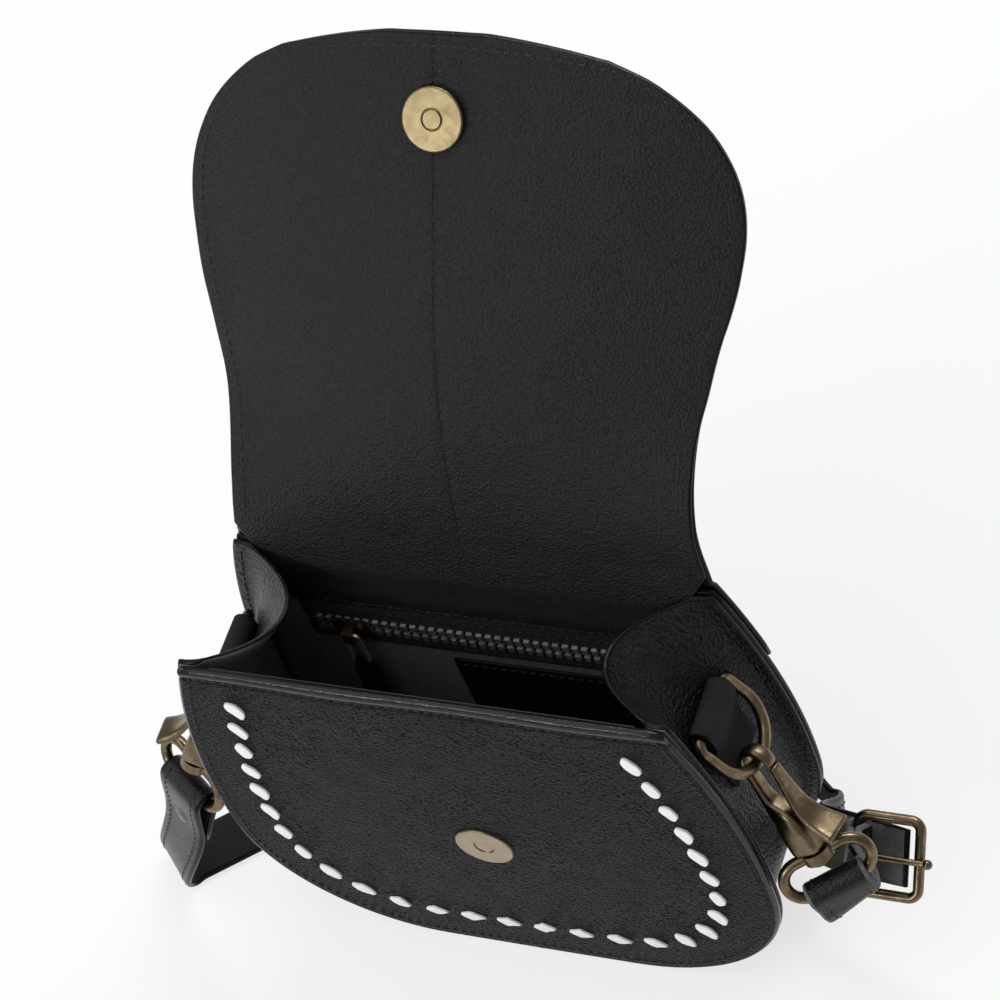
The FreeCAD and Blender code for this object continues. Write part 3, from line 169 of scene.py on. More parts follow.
class MeshParts:
    """Points, faces and material numbers of one mesh while it is put together."""

    def __init__(self):
        self.points = []
        self.faces = []
        self.slots = []

    def add_face(self, corners, slot):
        """One face between points that are already there."""
        self.faces.append(tuple(corners))
        self.slots.append(slot)

    def grid(self, rows, slot, close=False):
        """Faces over rows of points, in one material or one for each row; a closed grid joins the ends of rows."""
        start = len(self.points)
        width = len(rows[0])
        for row in rows:
            self.points.extend(row)
        for number in range(len(rows) - 1):
            low = start + number * width
            high = low + width
            row_slot = slot if isinstance(slot, int) else slot[number]
            for column in range(width if close else width - 1):
                after = (column + 1) % width
                self.add_face((low + column, low + after, high + after, high + column), row_slot)
        return start

    def shell(self, front, back, slots, open_row=None, steps=3):
        """Sheet between two grids with a rounded edge; slots are for the front, the back and the edge.

        Where another sheet carries on, the edge of the open row is left out.
        """
        rows = len(front)
        columns = len(front[0])
        start_front = self.grid(front, slots[0])
        start_back = self.grid(back, slots[1])
        ring = [(0, column) for column in range(columns)]
        ring += [(row, columns - 1) for row in range(1, rows)]
        ring += [(rows - 1, column) for column in range(columns - 2, -1, -1)]
        ring += [(row, 0) for row in range(rows - 2, 0, -1)]
        if open_row is not None:
            ring = [(row, column) for row, column in ring if row != open_row or column in (0, columns - 1)]
        loops = [[start_front + row * columns + column for row, column in ring]]
        for step in range(1, steps + 1):
            angle = math.pi * step / (steps + 1)
            loop = []
            for row, column in ring:
                middle = (front[row][column] + back[row][column]) / 2
                half = (front[row][column] - back[row][column]) / 2
                near_row = row if row == open_row else min(max(row, 1), rows - 2)
                near_column = min(max(column, 1), columns - 2)
                inside = (front[near_row][near_column] + back[near_row][near_column]) / 2
                outward = middle - inside
                outward -= half * (outward.dot(half) / half.length_squared)
                bulge = half.length * math.sin(angle)
                loop.append(len(self.points))
                self.points.append(middle + half * math.cos(angle) + outward.normalized() * bulge)
            loops.append(loop)
        loops.append([start_back + row * columns + column for row, column in ring])
        for first, second in zip(loops, loops[1:]):
            for number in range(len(ring)):
                after = (number + 1) % len(ring)
                if ring[number][0] == ring[after][0] == open_row:
                    continue
                self.add_face((first[number], first[after], second[after], second[number]), slots[2])

    def rings(self, rows, slot):
        """Closed tube through rings of points, in one material or one for each row, with its two ends covered."""
        start = self.grid(rows, slot, close=True)
        width = len(rows[0])
        last = start + (len(rows) - 1) * width
        first_slot, last_slot = (slot, slot) if isinstance(slot, int) else (slot[0], slot[-1])
        self.add_face(range(start, start + width), first_slot)
        self.add_face(reversed(range(last, last + width)), last_slot)

    def stitch(self, middle, along, up, sizes, slot):
        """One sewing stitch whose ends go down into the leather."""
        side = along.cross(up).normalized()
        rows = []
        for share, swell, sink in STITCH_RINGS:
            centre = middle + along * (share * sizes.stitch_length) - up * (sink * sizes.stitch_radius)
            radius = sizes.stitch_radius * swell
            rows.append(circle(centre, side * radius, up * radius, STITCH_CORNERS))
        self.rings(rows, slot)

    def seam(self, line, sizes, slot):
        """A row of stitches along a line of (point, direction away from the leather)."""
        for place, along, up in spaced(line, sizes.stitch_pitch):
            self.stitch(place, along, up, sizes, slot)

    def turned(self, profile, centre, axis, steps=40):
        """Turned shape about an axis; the profile holds (radius, height, material number), in millimetres."""
        side = axis.orthogonal().normalized() * MM
        other = axis.cross(side)
        rows = [circle(centre + axis * (height * MM), side * radius, other * radius, steps)
                for radius, height, _ in profile]
        self.rings(rows, [number for _, _, number in profile[1:]])

    def piece(self, name, materials):
        """The finished object, smooth, with every face turned outward."""
        mesh = bpy.data.meshes.new(name)
        mesh.from_pydata([tuple(point) for point in self.points], [], self.faces)
        for material in materials:
            mesh.materials.append(material)
        mesh.polygons.foreach_set("material_index", self.slots)
        mesh.polygons.foreach_set("use_smooth", [True] * len(self.faces))
        work = bmesh.new()
        work.from_mesh(mesh)
        bmesh.ops.recalc_face_normals(work, faces=work.faces)
        work.to_mesh(mesh)
        work.free()
        mesh.update()
        made = bpy.data.objects.new(name, mesh)
        bpy.context.scene.collection.objects.link(made)
        return made


def settle(made, body, slot, *nodes):
    """Ties a piece to its body and hides the CAD nodes that it stands for; the slot is not used."""
    if body:
        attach(made, body)
    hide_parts(*nodes)


def circle(centre, side, other, count):
    """Points of a round about a centre; side and other are its two radii."""
    angles = [2 * math.pi * step / count for step in range(count)]
    return [centre + side * math.cos(angle) + other * math.sin(angle) for angle in angles]


def run_lengths(points):
    """Distance along a line of points from its start to each of them."""
    runs = [0.0]
    for first, second in zip(points, points[1:]):
        runs.append(runs[-1] + math.dist(first, second))
    return runs


def stops(points, wanted):
    """Number of a line's part, and share of that part, at each wanted share of the line's length."""
    runs = run_lengths(points)
    found = []
    part = 0
    for stop in wanted:
        run = stop * runs[-1]
        while part < len(points) - 2 and runs[part + 1] < run:
            part += 1
        found.append((part, (run - runs[part]) / max(runs[part + 1] - runs[part], TINY)))
    return found


def spaced(line, pitch):
    """Evenly spaced (point, direction along, direction up) on a line of (point, up)."""
    points = [point for point, _ in line]
    count = max(1, round(run_lengths(points)[-1] / pitch))
    found = []
    for part, share in stops(points, [(number + 0.5) / count for number in range(count)]):
        place = points[part].lerp(points[part + 1], share)
        up = line[part][1].lerp(line[part + 1][1], share).normalized()
        along = (points[part + 1] - points[part]).normalized()
        found.append((place, along, up))
    return found


def with_neighbours(line):
    """Each entry of a line between the one before it and the one after it."""
    return zip(line[:1] + line[:-1], line, line[1:] + line[-1:])


def smooth_between(table, value):
    """Value read from a table of (position, value) with smooth slopes."""
    if value <= table[0][0]:
        return table[0][1]
    if value >= table[-1][0]:
        return table[-1][1]
    part = max(number for number in range(len(table) - 1) if table[number][0] <= value)

    def slope(number):
        before = table[max(number - 1, 0)]
        after = table[min(number + 1, len(table) - 1)]
        return (after[1] - before[1]) / (after[0] - before[0])

    span = table[part + 1][0] - table[part][0]
    share = (value - table[part][0]) / span
    rest = 1 - share
    return (table[part][1] * rest ** 2 * (1 + 2 * share) + slope(part) * span * share * rest ** 2
            + table[part + 1][1] * share ** 2 * (1 + 2 * rest) - slope(part + 1) * span * rest * share ** 2)


def smooth_line(points, steps):
    """Entries on a smooth line through given entries, with steps from each to the next."""
    tables = [[(number, point[part]) for number, point in enumerate(points)] for part in range(len(points[0]))]
    count = (len(points) - 1) * steps + 1
    return [tuple(smooth_between(table, number / steps) for table in tables) for number in range(count)]


def ramp(value, low, high):
    """Smooth step from 0 below low to 1 above high."""
    share = min(max((value - low) / (high - low), 0.0), 1.0)
    return share * share * (3 - 2 * share)


def hump(value, width):
    """Bell-shaped rise that is 1 at a value of 0."""
    return math.exp(-(value / width) ** 2)


def shares(count):
    """Evenly spaced numbers from 0 to 1."""
    return [number / (count - 1) for number in range(count)]


def between(low, high, share, inset=0.0):
    """Number at a share of the way between two ends that are moved in by an inset."""
    return low + inset + (high - low - 2 * inset) * share


def upright_grid(low, high, rows, columns, depth_at, inset=0.0):
    """Grid of points over an upright box; depth_at gives the place in the depth for each (share up, share across)."""
    return [[Vector((between(low.x, high.x, across, inset), depth_at(up, across), between(low.z, high.z, up, inset)))
             for across in shares(columns)] for up in shares(rows)]


def level_line(reach, depth, height, up, count=40):
    """Level line of (point, direction away from the leather) across the bag."""
    return [(spot(between(-reach, reach, share), depth, height), up) for share in shares(count)]


# Outline of the panels: a flat bottom, round lower corners and long side arcs

class PanelOutline:
    """The saddle outline that both panels, the gusset and the linings follow."""

    arc_points = 40

    def __init__(self, sizes):
        half_top = sizes.top_width / 2
        half_wide = sizes.wide_width / 2
        rise = sizes.panel_height - sizes.wide_height
        narrowing = half_wide - half_top
        self.corner = sizes.corner_radius
        self.wide_height = sizes.wide_height
        self.side_radius = (rise ** 2 + narrowing ** 2) / (2 * narrowing)
        self.side_x = half_wide - self.side_radius
        self.tilt = math.asin((self.corner - sizes.wide_height) / (self.side_radius - self.corner))
        self.corner_x = self.side_x + (self.side_radius - self.corner) * math.cos(self.tilt)

    def half_width(self, inset, height):
        """Half the width at a height, for an outline that lies inside the edge by an inset."""
        corner = self.corner - inset
        if height < self.corner + corner * math.sin(self.tilt):
            fall = min(self.corner - height, corner)
            return self.corner_x + math.sqrt(max(corner ** 2 - fall ** 2, 0.0))
        side = self.side_radius - inset
        return self.side_x + math.sqrt(side ** 2 - (height - self.wide_height) ** 2)

    def edge(self, inset, top, count=160):
        """(x, z) of the inset edge from the left top round the bottom to the right top, evenly spaced."""
        side = self.side_radius - inset
        top_angle = math.asin((top - self.wide_height) / side)
        right = [Vector((0, 0, inset)), Vector((self.corner_x, 0, inset))]
        for x, z, radius, first, last in (
                (self.corner_x, self.corner, self.corner - inset, -math.pi / 2, self.tilt),
                (self.side_x, self.wide_height, side, self.tilt, top_angle)):
            for share in shares(self.arc_points)[1:]:
                angle = between(first, last, share)
                right.append(Vector((x + radius * math.cos(angle), 0, z + radius * math.sin(angle))))
        line = [Vector((-point.x, 0, point.z)) for point in reversed(right[1:])] + right
        places = [line[part].lerp(line[part + 1], share) for part, share in stops(line, shares(count))]
        return [(place.x, place.z) for place in places]


def panel_puff(sizes, outline, x, z, height):
    """How far a panel swells outward at a point."""
    across = min(abs(x) / outline.half_width(0, max(z, 0.0)), 1.0)
    return sizes.puff * (1 - across ** 2) * math.sin(math.pi * min(max(z / height, 0.0), 1.0)) ** 0.7


def panel_heights(low, top, roll=0.0, rows=46):
    """Heights of a panel's rows: close together in the round corners and, if it has one, in its rolled top."""
    plain = [low + (top - roll - low) * share ** 1.7 for share in shares(rows)]
    return plain + [top - roll + roll * share for share in shares(19)[1:] if roll]


def panel_grid(outline, inset, heights, depth_at, columns=49):
    """Grid of points over a panel; depth_at gives the place in the depth for each (x, z)."""
    grid = []
    for z in heights:
        reach = outline.half_width(inset, z)
        row = []
        for across in shares(columns):
            x = (2 * across - 1) * reach
            row.append(spot(x, depth_at(x, z), z))
        grid.append(row)
    return grid


# Finishes

class FinishTree:
    """A material and its shader while they are put together."""

    def __init__(self, name):
        self.finish = bpy.data.materials.new(name)
        self.finish.use_nodes = True
        self.nodes = self.finish.node_tree.nodes
        self.shader = self.nodes["Principled BSDF"]
        self.coords = self.add("ShaderNodeTexCoord").outputs["Object"]

    def fill(self, node, inputs):
        """Gives a node's sockets their values, or links them to the outputs of other nodes."""
        for name, value in inputs.items():
            if isinstance(value, bpy.types.NodeSocket):
                self.finish.node_tree.links.new(value, node.inputs[name])
            else:
                node.inputs[name].default_value = value

    def add(self, kind, inputs=None, **settings):
        """A node with its settings and its inputs."""
        made = self.nodes.new(kind)
        for name, value in settings.items():
            setattr(made, name, value)
        self.fill(made, inputs or {})
        return made

    def texture(self, kind, inputs, output="Fac", **settings):
        """Output of a texture in the piece's own space."""
        return self.add("ShaderNodeTex" + kind, {"Vector": self.coords, **inputs}, **settings).outputs[output]

    def math(self, operation, *values, **settings):
        """Result of a calculation with numbers or outputs."""
        return self.add("ShaderNodeMath", dict(enumerate(values)), operation=operation, **settings).outputs[0]

    def stretched(self, factor, low, high):
        """Number between two values, driven by a texture's middle half."""
        return self.add("ShaderNodeMapRange", {"Value": factor, "From Min": 0.25, "From Max": 0.75, "To Min": low,
                                               "To Max": high}).outputs["Result"]

    def tone(self, factor, colour, dark, light):
        """Surface colour between two gains of a colour, driven by a texture."""
        low, high = [(*toned(colour, gain), 1) for gain in (dark, light)]
        mix = self.add("ShaderNodeMix", {"Factor": factor, 6: low, 7: high}, data_type="RGBA")
        self.surface({"Base Color": mix.outputs[2]})

    def bump(self, height, strength, distance):
        """Relief of the surface."""
        relief = self.add("ShaderNodeBump", {"Height": height, "Strength": strength, "Distance": distance})
        self.surface({"Normal": relief.outputs["Normal"]})

    def surface(self, inputs):
        """Values or outputs for the shader itself."""
        self.fill(self.shader, inputs)


def toned(colour, gain):
    """Colour made lighter or darker."""
    return tuple(min(part * gain, 1.0) for part in colour)


def leather_finish(name, colour, grain, depth, rough, gloss, crease=0.0, speckle=0.1):
    """Leather with pebbles of a grain size, fine pores, soft creases and a gloss that is duller between pebbles."""
    tree = FinishTree(name)
    pebbles = tree.texture("Voronoi", {"Scale": 1 / grain, "Smoothness": 0.55, "Randomness": 0.95}, "Distance",
                           feature="SMOOTH_F1")
    pores = tree.texture("Noise", {"Scale": 2.6 / grain, "Detail": 3.0, "Roughness": 0.6})
    patches = tree.texture("Noise", {"Scale": 70.0, "Detail": 4.0, "Roughness": 0.6})
    creases = tree.texture("Noise", {"Scale": 160.0, "Detail": 5.0, "Roughness": 0.55, "Distortion": 1.6})
    pebbled = tree.math("MULTIPLY_ADD", pores, 0.45, pebbles)
    tree.bump(tree.math("MULTIPLY_ADD", creases, crease, pebbled), depth, 0.6 * grain)
    tree.tone(patches, colour, 0.7, 1.45)
    tree.surface({
        "Roughness": tree.stretched(patches, rough - 0.07, rough + 0.09),
        "Specular IOR Level": tree.stretched(pebbles, (1 + 0.7 * speckle) * gloss, (1 - 0.8 * speckle) * gloss),
    })
    return tree.finish


def suede_finish(name, colour, dark=0.55, light=1.6):
    """Flesh side of leather: a short nap with lighter and darker strokes."""
    tree = FinishTree(name)
    nap = tree.texture("Noise", {"Scale": 2600.0, "Detail": 4.0, "Roughness": 0.7})
    strokes = tree.texture("Noise", {"Scale": 420.0, "Detail": 4.0, "Distortion": 2.2})
    tree.bump(nap, 0.5, 0.15 * MM)
    tree.tone(strokes, colour, dark, light)
    tree.surface({"Roughness": 0.95, "Specular IOR Level": 0.2})
    return tree.finish


def metal_finish(name, colour, rough, wear):
    """Plated metal with a rubbed, uneven patina."""
    tree = FinishTree(name)
    patina = tree.texture("Noise", {"Scale": 260.0, "Detail": 6.0, "Roughness": 0.65, "Distortion": 0.6})
    scratches = tree.texture("Noise", {"Scale": 1900.0, "Detail": 3.0})
    tree.tone(tree.stretched(patina, 0.0, 1.0), colour, 1 - wear, 1 + 0.45 * wear)
    tree.bump(scratches, 0.12, 0.05 * MM)
    tree.surface({"Roughness": tree.stretched(patina, rough + 0.12, rough - 0.06), "Metallic": 1.0})
    return tree.finish


def cloth_finish(name, colour, pitch):
    """Plain woven cloth: warp and weft that cross."""
    tree = FinishTree(name)
    warp, weft = [tree.texture("Wave", {"Scale": 0.3 / pitch, "Distortion": 0.4}, bands_direction=direction)
                  for direction in ("X", "Z")]
    fluff = tree.texture("Noise", {"Scale": 900.0, "Detail": 4.0})
    tree.bump(tree.math("MULTIPLY", warp, weft), 0.5, 0.2 * pitch)
    tree.tone(fluff, colour, 0.6, 1.8)
    tree.surface({"Roughness": 0.9, "Specular IOR Level": 0.2})
    return tree.finish


def thread_finish(name, colour):
    """Waxed thread with a fine twist."""
    tree = FinishTree(name)
    twist = tree.texture("Wave", {"Scale": 900.0, "Distortion": 1.0}, bands_direction="DIAGONAL")
    tree.tone(twist, colour, 0.7, 1.15)
    tree.surface({"Roughness": 0.6})
    return tree.finish


def make_finishes(colours):
    """All finishes of the bag, by name."""
    # The leathers' numbers are grain size, relief, roughness, gloss, creases and speckle
    return {
        "leather": leather_finish("leather_pebbled_black", colours.leather, 0.8 * MM, 1.0, 0.34, 0.055, speckle=1.0),
        "rolled": leather_finish("leather_rolled_edge", colours.edge, 0.8 * MM, 0.2, 0.13, 0.3),
        "gusset": leather_finish("leather_gusset_black", colours.gusset, 1.1 * MM, 1.0, 0.34, 0.24, 0.4, 0.4),
        "lining": leather_finish("leather_flap_lining", colours.lining, 0.7 * MM, 0.85, 0.42, 0.2, 0.8, 0.4),
        "strap": leather_finish("leather_strap_black", colours.gusset, 0.65 * MM, 0.5, 0.25, 0.28, 0.5),
        "edge": leather_finish("leather_painted_edge", colours.edge, 0.9 * MM, 0.2, 0.2, 0.12),
        "raw_edge": suede_finish("leather_raw_edge", colours.raw_edge),
        "dark_suede": suede_finish("suede_black", toned(colours.suede, 0.14)),
        "suede": suede_finish("suede_grey", colours.suede),
        "thread": thread_finish("thread_black", colours.thread),
        "lace": suede_finish("lace_white", colours.lace, 0.9, 1.06),
        # Painted light: the cloth finish carries the lightened cloth colour, which stands in for light inside the
        # bag; the zip tape takes it back down to a dark tone
        "cloth": cloth_finish("cloth_black", colours.cloth, 0.5 * MM),
        "tape": cloth_finish("zip_tape_black", toned(colours.cloth, 0.17), 0.7 * MM),
        "antique": metal_finish("brass_antique", colours.antique, 0.27, 0.55),
        "gold": metal_finish("brass_gold", colours.gold, 0.3, 0.25),
        "pale": metal_finish("brass_pale", colours.pale, 0.24, 0.15),
        "dark_brass": metal_finish("brass_dark", toned(colours.antique, 0.8), 0.3, 0.5),
        "zip_metal": metal_finish("zip_metal", colours.zip_metal, 0.4, 0.15),
    }


finishes = {}


def dress(node, finish):
    """Gives a CAD node that stays in view its finish."""
    mesh = frame["nodes"][node].data
    mesh.materials.clear()
    mesh.materials.append(finishes[finish])
    mesh.polygons.foreach_set("material_index", [0] * len(mesh.polygons))


def chosen(*names):
    """Finishes by name, in order."""
    return [finishes[name] for name in names]


# Front and back

class HANDBAG_OT_front_panel(bpy.types.Operator):
    """Front panel with its rolled top edge and its edge seams"""

    bl_idname = "handbag.front_panel"
    bl_label = "Front panel"

    glossy_top = 1.4 * MM
    fine_rows = 8 * MM
    wave_height = 0.3 * MM
    wave_from = 0.12
    roll_height = 0.6 * MM
    roll_middle = 1.8 * MM
    roll_width = 1.4 * MM
    groove_depth = 0.35 * MM
    groove_width = 0.8 * MM

    def execute(self, context):
        sizes = context.scene.handbag_sizes
        outline = PanelOutline(sizes)
        half = sizes.panel_leather / 2
        front = -BAG_DEPTH / 2

        def outside(x, z):
            below_top = sizes.panel_height - z
            wave = self.wave_height * math.sin(x * 90 + 0.6) * ramp(z, self.wave_from, sizes.panel_height)
            roll = self.roll_height * hump(below_top - self.roll_middle, self.roll_width)
            groove = self.groove_depth * hump(below_top - sizes.roll_depth, self.groove_width)
            return front - panel_puff(sizes, outline, x, z, sizes.panel_height) + wave - roll + groove

        def inside(x, z):
            return front + sizes.panel_leather

        top = sizes.panel_height - half
        parts = MeshParts()
        heights = panel_heights(half, top, roll=self.fine_rows)
        rows = [3 if z > top - self.glossy_top else 0 for z in heights[:-1]]
        sides = [panel_grid(outline, half, heights, side) for side in (outside, inside)]
        parts.shell(*sides, (rows, 1, 3), steps=5)
        edge = outline.edge(sizes.stitch_inset, sizes.panel_height - sizes.stitch_inset)
        top_seam = sizes.panel_height - sizes.roll_depth
        reach = outline.half_width(sizes.stitch_inset, top_seam)
        for line in (edge, [(between(-reach, reach, share), top_seam) for share in shares(60)]):
            parts.seam([(spot(x, outside(x, z), z), -Y_AXIS) for x, z in line], sizes, 2)
        made = parts.piece("front_panel_leather", chosen("leather", "cloth", "thread", "rolled"))
        settle(made, "bag", "leather_black", "front_panel")
        return {"FINISHED"}


class HANDBAG_OT_lacing(bpy.types.Operator):
    """White lace stitches round the front panel"""

    bl_idname = "handbag.lacing"
    bl_label = "Lacing"

    lace_count = 14
    top_drop = 17.5 * MM
    flat_slant = math.radians(-4)
    steep_slant = math.radians(-56)
    pointed_leaf = ((1.06, 0.0), (0.72, 0.3), (0.36, 0.6), (0.02, 0.92), (-0.16, 0.98), (-0.5, 0.62), (-0.98, 0.22),
                    (-1.04, 0.0), (-0.78, -0.4), (-0.44, -0.72), (-0.14, -0.98), (0.04, -0.92), (0.38, -0.62),
                    (0.76, -0.28))
    blunt_leaf = ((1.02, -0.34), (0.9, 0.16), (0.62, 0.62), (0.1, 0.94), (-0.42, 1.0), (-0.84, 0.78), (-1.0, 0.36),
                  (-0.98, -0.1), (-0.78, -0.56), (-0.4, -0.86), (0.1, -0.96), (0.56, -1.0), (0.9, -0.96),
                  (1.04, -0.74))
    uneven_turn = 0.12
    uneven_length = 0.07
    uneven_width = 0.08
    uneven_edge = 0.07
    # Share of the outline and share of the height of each ring of one stitch
    lace_rings = ((1.0, -0.4), (1.0, 0.55), (0.98, 0.8), (0.92, 0.92), (0.85, 0.95), (0.4, 1.0))

    def execute(self, context):
        sizes = context.scene.handbag_sizes
        outline = PanelOutline(sizes)
        parts = MeshParts()
        places = outline.edge(sizes.lace_inset, sizes.panel_height - self.top_drop, 2 * self.lace_count)
        for number, (before, (x, z), after) in enumerate(with_neighbours(places)):
            face = -BAG_DEPTH / 2 - panel_puff(sizes, outline, x, z, sizes.panel_height)
            climb = abs(after[1] - before[1]) / math.dist(before, after)
            self.add_lace(parts, sizes, spot(x, face, z), climb, number)
        made = parts.piece("lacing_white", chosen("lace"))
        settle(made, "bag", "lace_white", "lacing")
        return {"FINISHED"}

    def add_lace(self, parts, sizes, place, climb, number):
        """One flat lace stitch: a leaf with cut, slightly uneven ends, steeper and blunter where the row climbs."""
        turn = between(self.flat_slant, self.steep_slant, climb) + self.uneven_turn * math.sin(2.3 * number + 0.5)
        leaf = [Vector(flat).lerp(Vector(steep), climb) for flat, steep in zip(self.pointed_leaf, self.blunt_leaf)]
        along = X_AXIS * math.cos(turn) + Z_AXIS * math.sin(turn)
        across = Z_AXIS * math.cos(turn) - X_AXIS * math.sin(turn)
        long_half = sizes.lace_length / 2 * (1 + self.uneven_length * math.sin(1.7 * number))
        wide_half = sizes.lace_width / 2 * (1 + self.uneven_width * math.sin(3.1 * number + 1))
        rows = []
        for swell, height in self.lace_rings:
            row = []
            for first, second in leaf:
                ragged = 1 + self.uneven_edge * math.sin(4.1 * first + 2.7 * second + 1.3 * number)
                row.append(place + along * (first * long_half * swell * ragged)
                           + across * (second * wide_half * swell * ragged) - Y_AXIS * (height * sizes.lace_height))
            rows.append(row)
        parts.rings(rows, 0)


class HANDBAG_OT_back_panel(bpy.types.Operator):
    """Back panel of the bag"""

    bl_idname = "handbag.back_panel"
    bl_label = "Back panel"

    seam_drop = 34 * MM
    puffed_below = 70 * MM
    flat_above = 108 * MM

    def execute(self, context):
        sizes = context.scene.handbag_sizes
        outline = PanelOutline(sizes)
        half = sizes.panel_leather / 2
        back = BAG_DEPTH / 2

        def outside(x, z):
            swell = panel_puff(sizes, outline, x, z, sizes.back_height)
            return back + swell * ramp(-z, -self.flat_above, -self.puffed_below)

        def inside(x, z):
            return back - sizes.panel_leather

        top = sizes.back_height - half
        parts = MeshParts()
        heights = panel_heights(half, top)
        sides = [panel_grid(outline, half, heights, side) for side in (outside, inside)]
        parts.shell(*sides, (0, 1, 2))
        edge = outline.edge(sizes.stitch_inset, sizes.back_height - self.seam_drop)
        parts.seam([(spot(x, outside(x, z), z), Y_AXIS) for x, z in edge], sizes, 3)
        made = parts.piece("back_panel_leather", chosen("leather", "cloth", "edge", "thread"))
        settle(made, "bag", "leather_black", "back_panel")
        return {"FINISHED"}


class HANDBAG_OT_gusset(bpy.types.Operator):
    """Gusset: one strip round the sides and the base, bowed inward at both tops, with sewn lips"""

    bl_idname = "handbag.gusset"
    bl_label = "Gusset"

    strip_rows = 150
    top_gap = 0.6 * MM
    seam_shift = 0.6 * MM
    seam_drop = 4 * MM
    seam_rise = 0.1 * MM
    sag = 0.5 * MM
    top_dip = 1.6 * MM

    def execute(self, context):
        sizes = context.scene.handbag_sizes
        outline = PanelOutline(sizes)
        lip = sizes.seam_lip
        wall = sizes.gusset_leather
        middle = BAG_DEPTH / 2 - sizes.panel_leather - wall
        seam_face = middle + wall
        outer_turn = [(0.7 * MM, -middle - 0.05 * MM), (2.2 * MM, -middle), (lip - 0.9 * MM, -middle + 0.15 * MM),
                      (lip - 0.2 * MM, -middle + 0.7 * MM), (lip, -middle + 1.8 * MM)]
        inner_turn = [(0.7 * MM, -seam_face + 0.1 * MM), (2.4 * MM, -seam_face + 0.1 * MM),
                      (lip + 0.2 * MM, -seam_face + 0.15 * MM), (lip + wall - 0.4 * MM, -seam_face + 0.6 * MM),
                      (lip + wall, -middle + 0.6 * MM)]
        sides = [self.strip(sizes, outline, self.profile(turn, inset), middle)
                 for turn, inset in ((outer_turn, lip), (inner_turn, lip + wall))]
        parts = MeshParts()
        parts.shell(*sides, (0, 1, 2))
        edge = outline.edge(sizes.stitch_inset - self.seam_shift, sizes.back_height - self.seam_drop)
        for side in (1, -1):
            parts.seam([(spot(x, side * (middle - self.seam_rise), z), Y_AXIS * -side) for x, z in edge], sizes, 3)
        made = parts.piece("gusset_leather", chosen("gusset", "cloth", "edge", "thread"))
        settle(made, "bag", "leather_black", "gusset_base", "gusset_side_right", "gusset_side_left")
        return {"FINISHED"}

    def profile(self, turn, inset):
        """(inset, depth) pairs across the strip: a lip, the wall and the other lip."""
        end = turn[-1][1]
        wall = [(inset, between(end, -end, share)) for share in shares(17)[1:-1]]
        return turn + wall + [(depth_inset, -depth) for depth_inset, depth in reversed(turn)]

    def strip(self, sizes, outline, profile, middle):
        """Rows of points along the strip, from the left top round the base to the right top."""
        columns = [outline.edge(inset, sizes.back_height - self.top_gap, self.strip_rows) for inset, _ in profile]
        rows = []
        for number in range(self.strip_rows):
            row = []
            for column, (_, depth) in zip(columns, profile):
                x, z = column[number]
                climb = min(max((z - sizes.wide_height) / (sizes.back_height - sizes.wide_height), 0.0), 1.0)
                fold = max(1 - (depth / middle) ** 2, 0.0)
                bow = sizes.gusset_bow * (0.25 * climb + 0.75 * climb ** 3) * fold
                sag = self.sag * math.sin(z * 260 + depth * 150) * fold * ramp(z, 0.03, 0.08)
                lift = (sizes.panel_height - sizes.back_height) * (1 - depth / middle) / 2 - self.top_dip * fold
                side = 1 if x > 0 else -1
                row.append(spot(x - side * (bow + sag), depth, z + lift * ramp(climb, 0.6, 1.0)))
            rows.append(row)
        return rows


# Inside of the bag

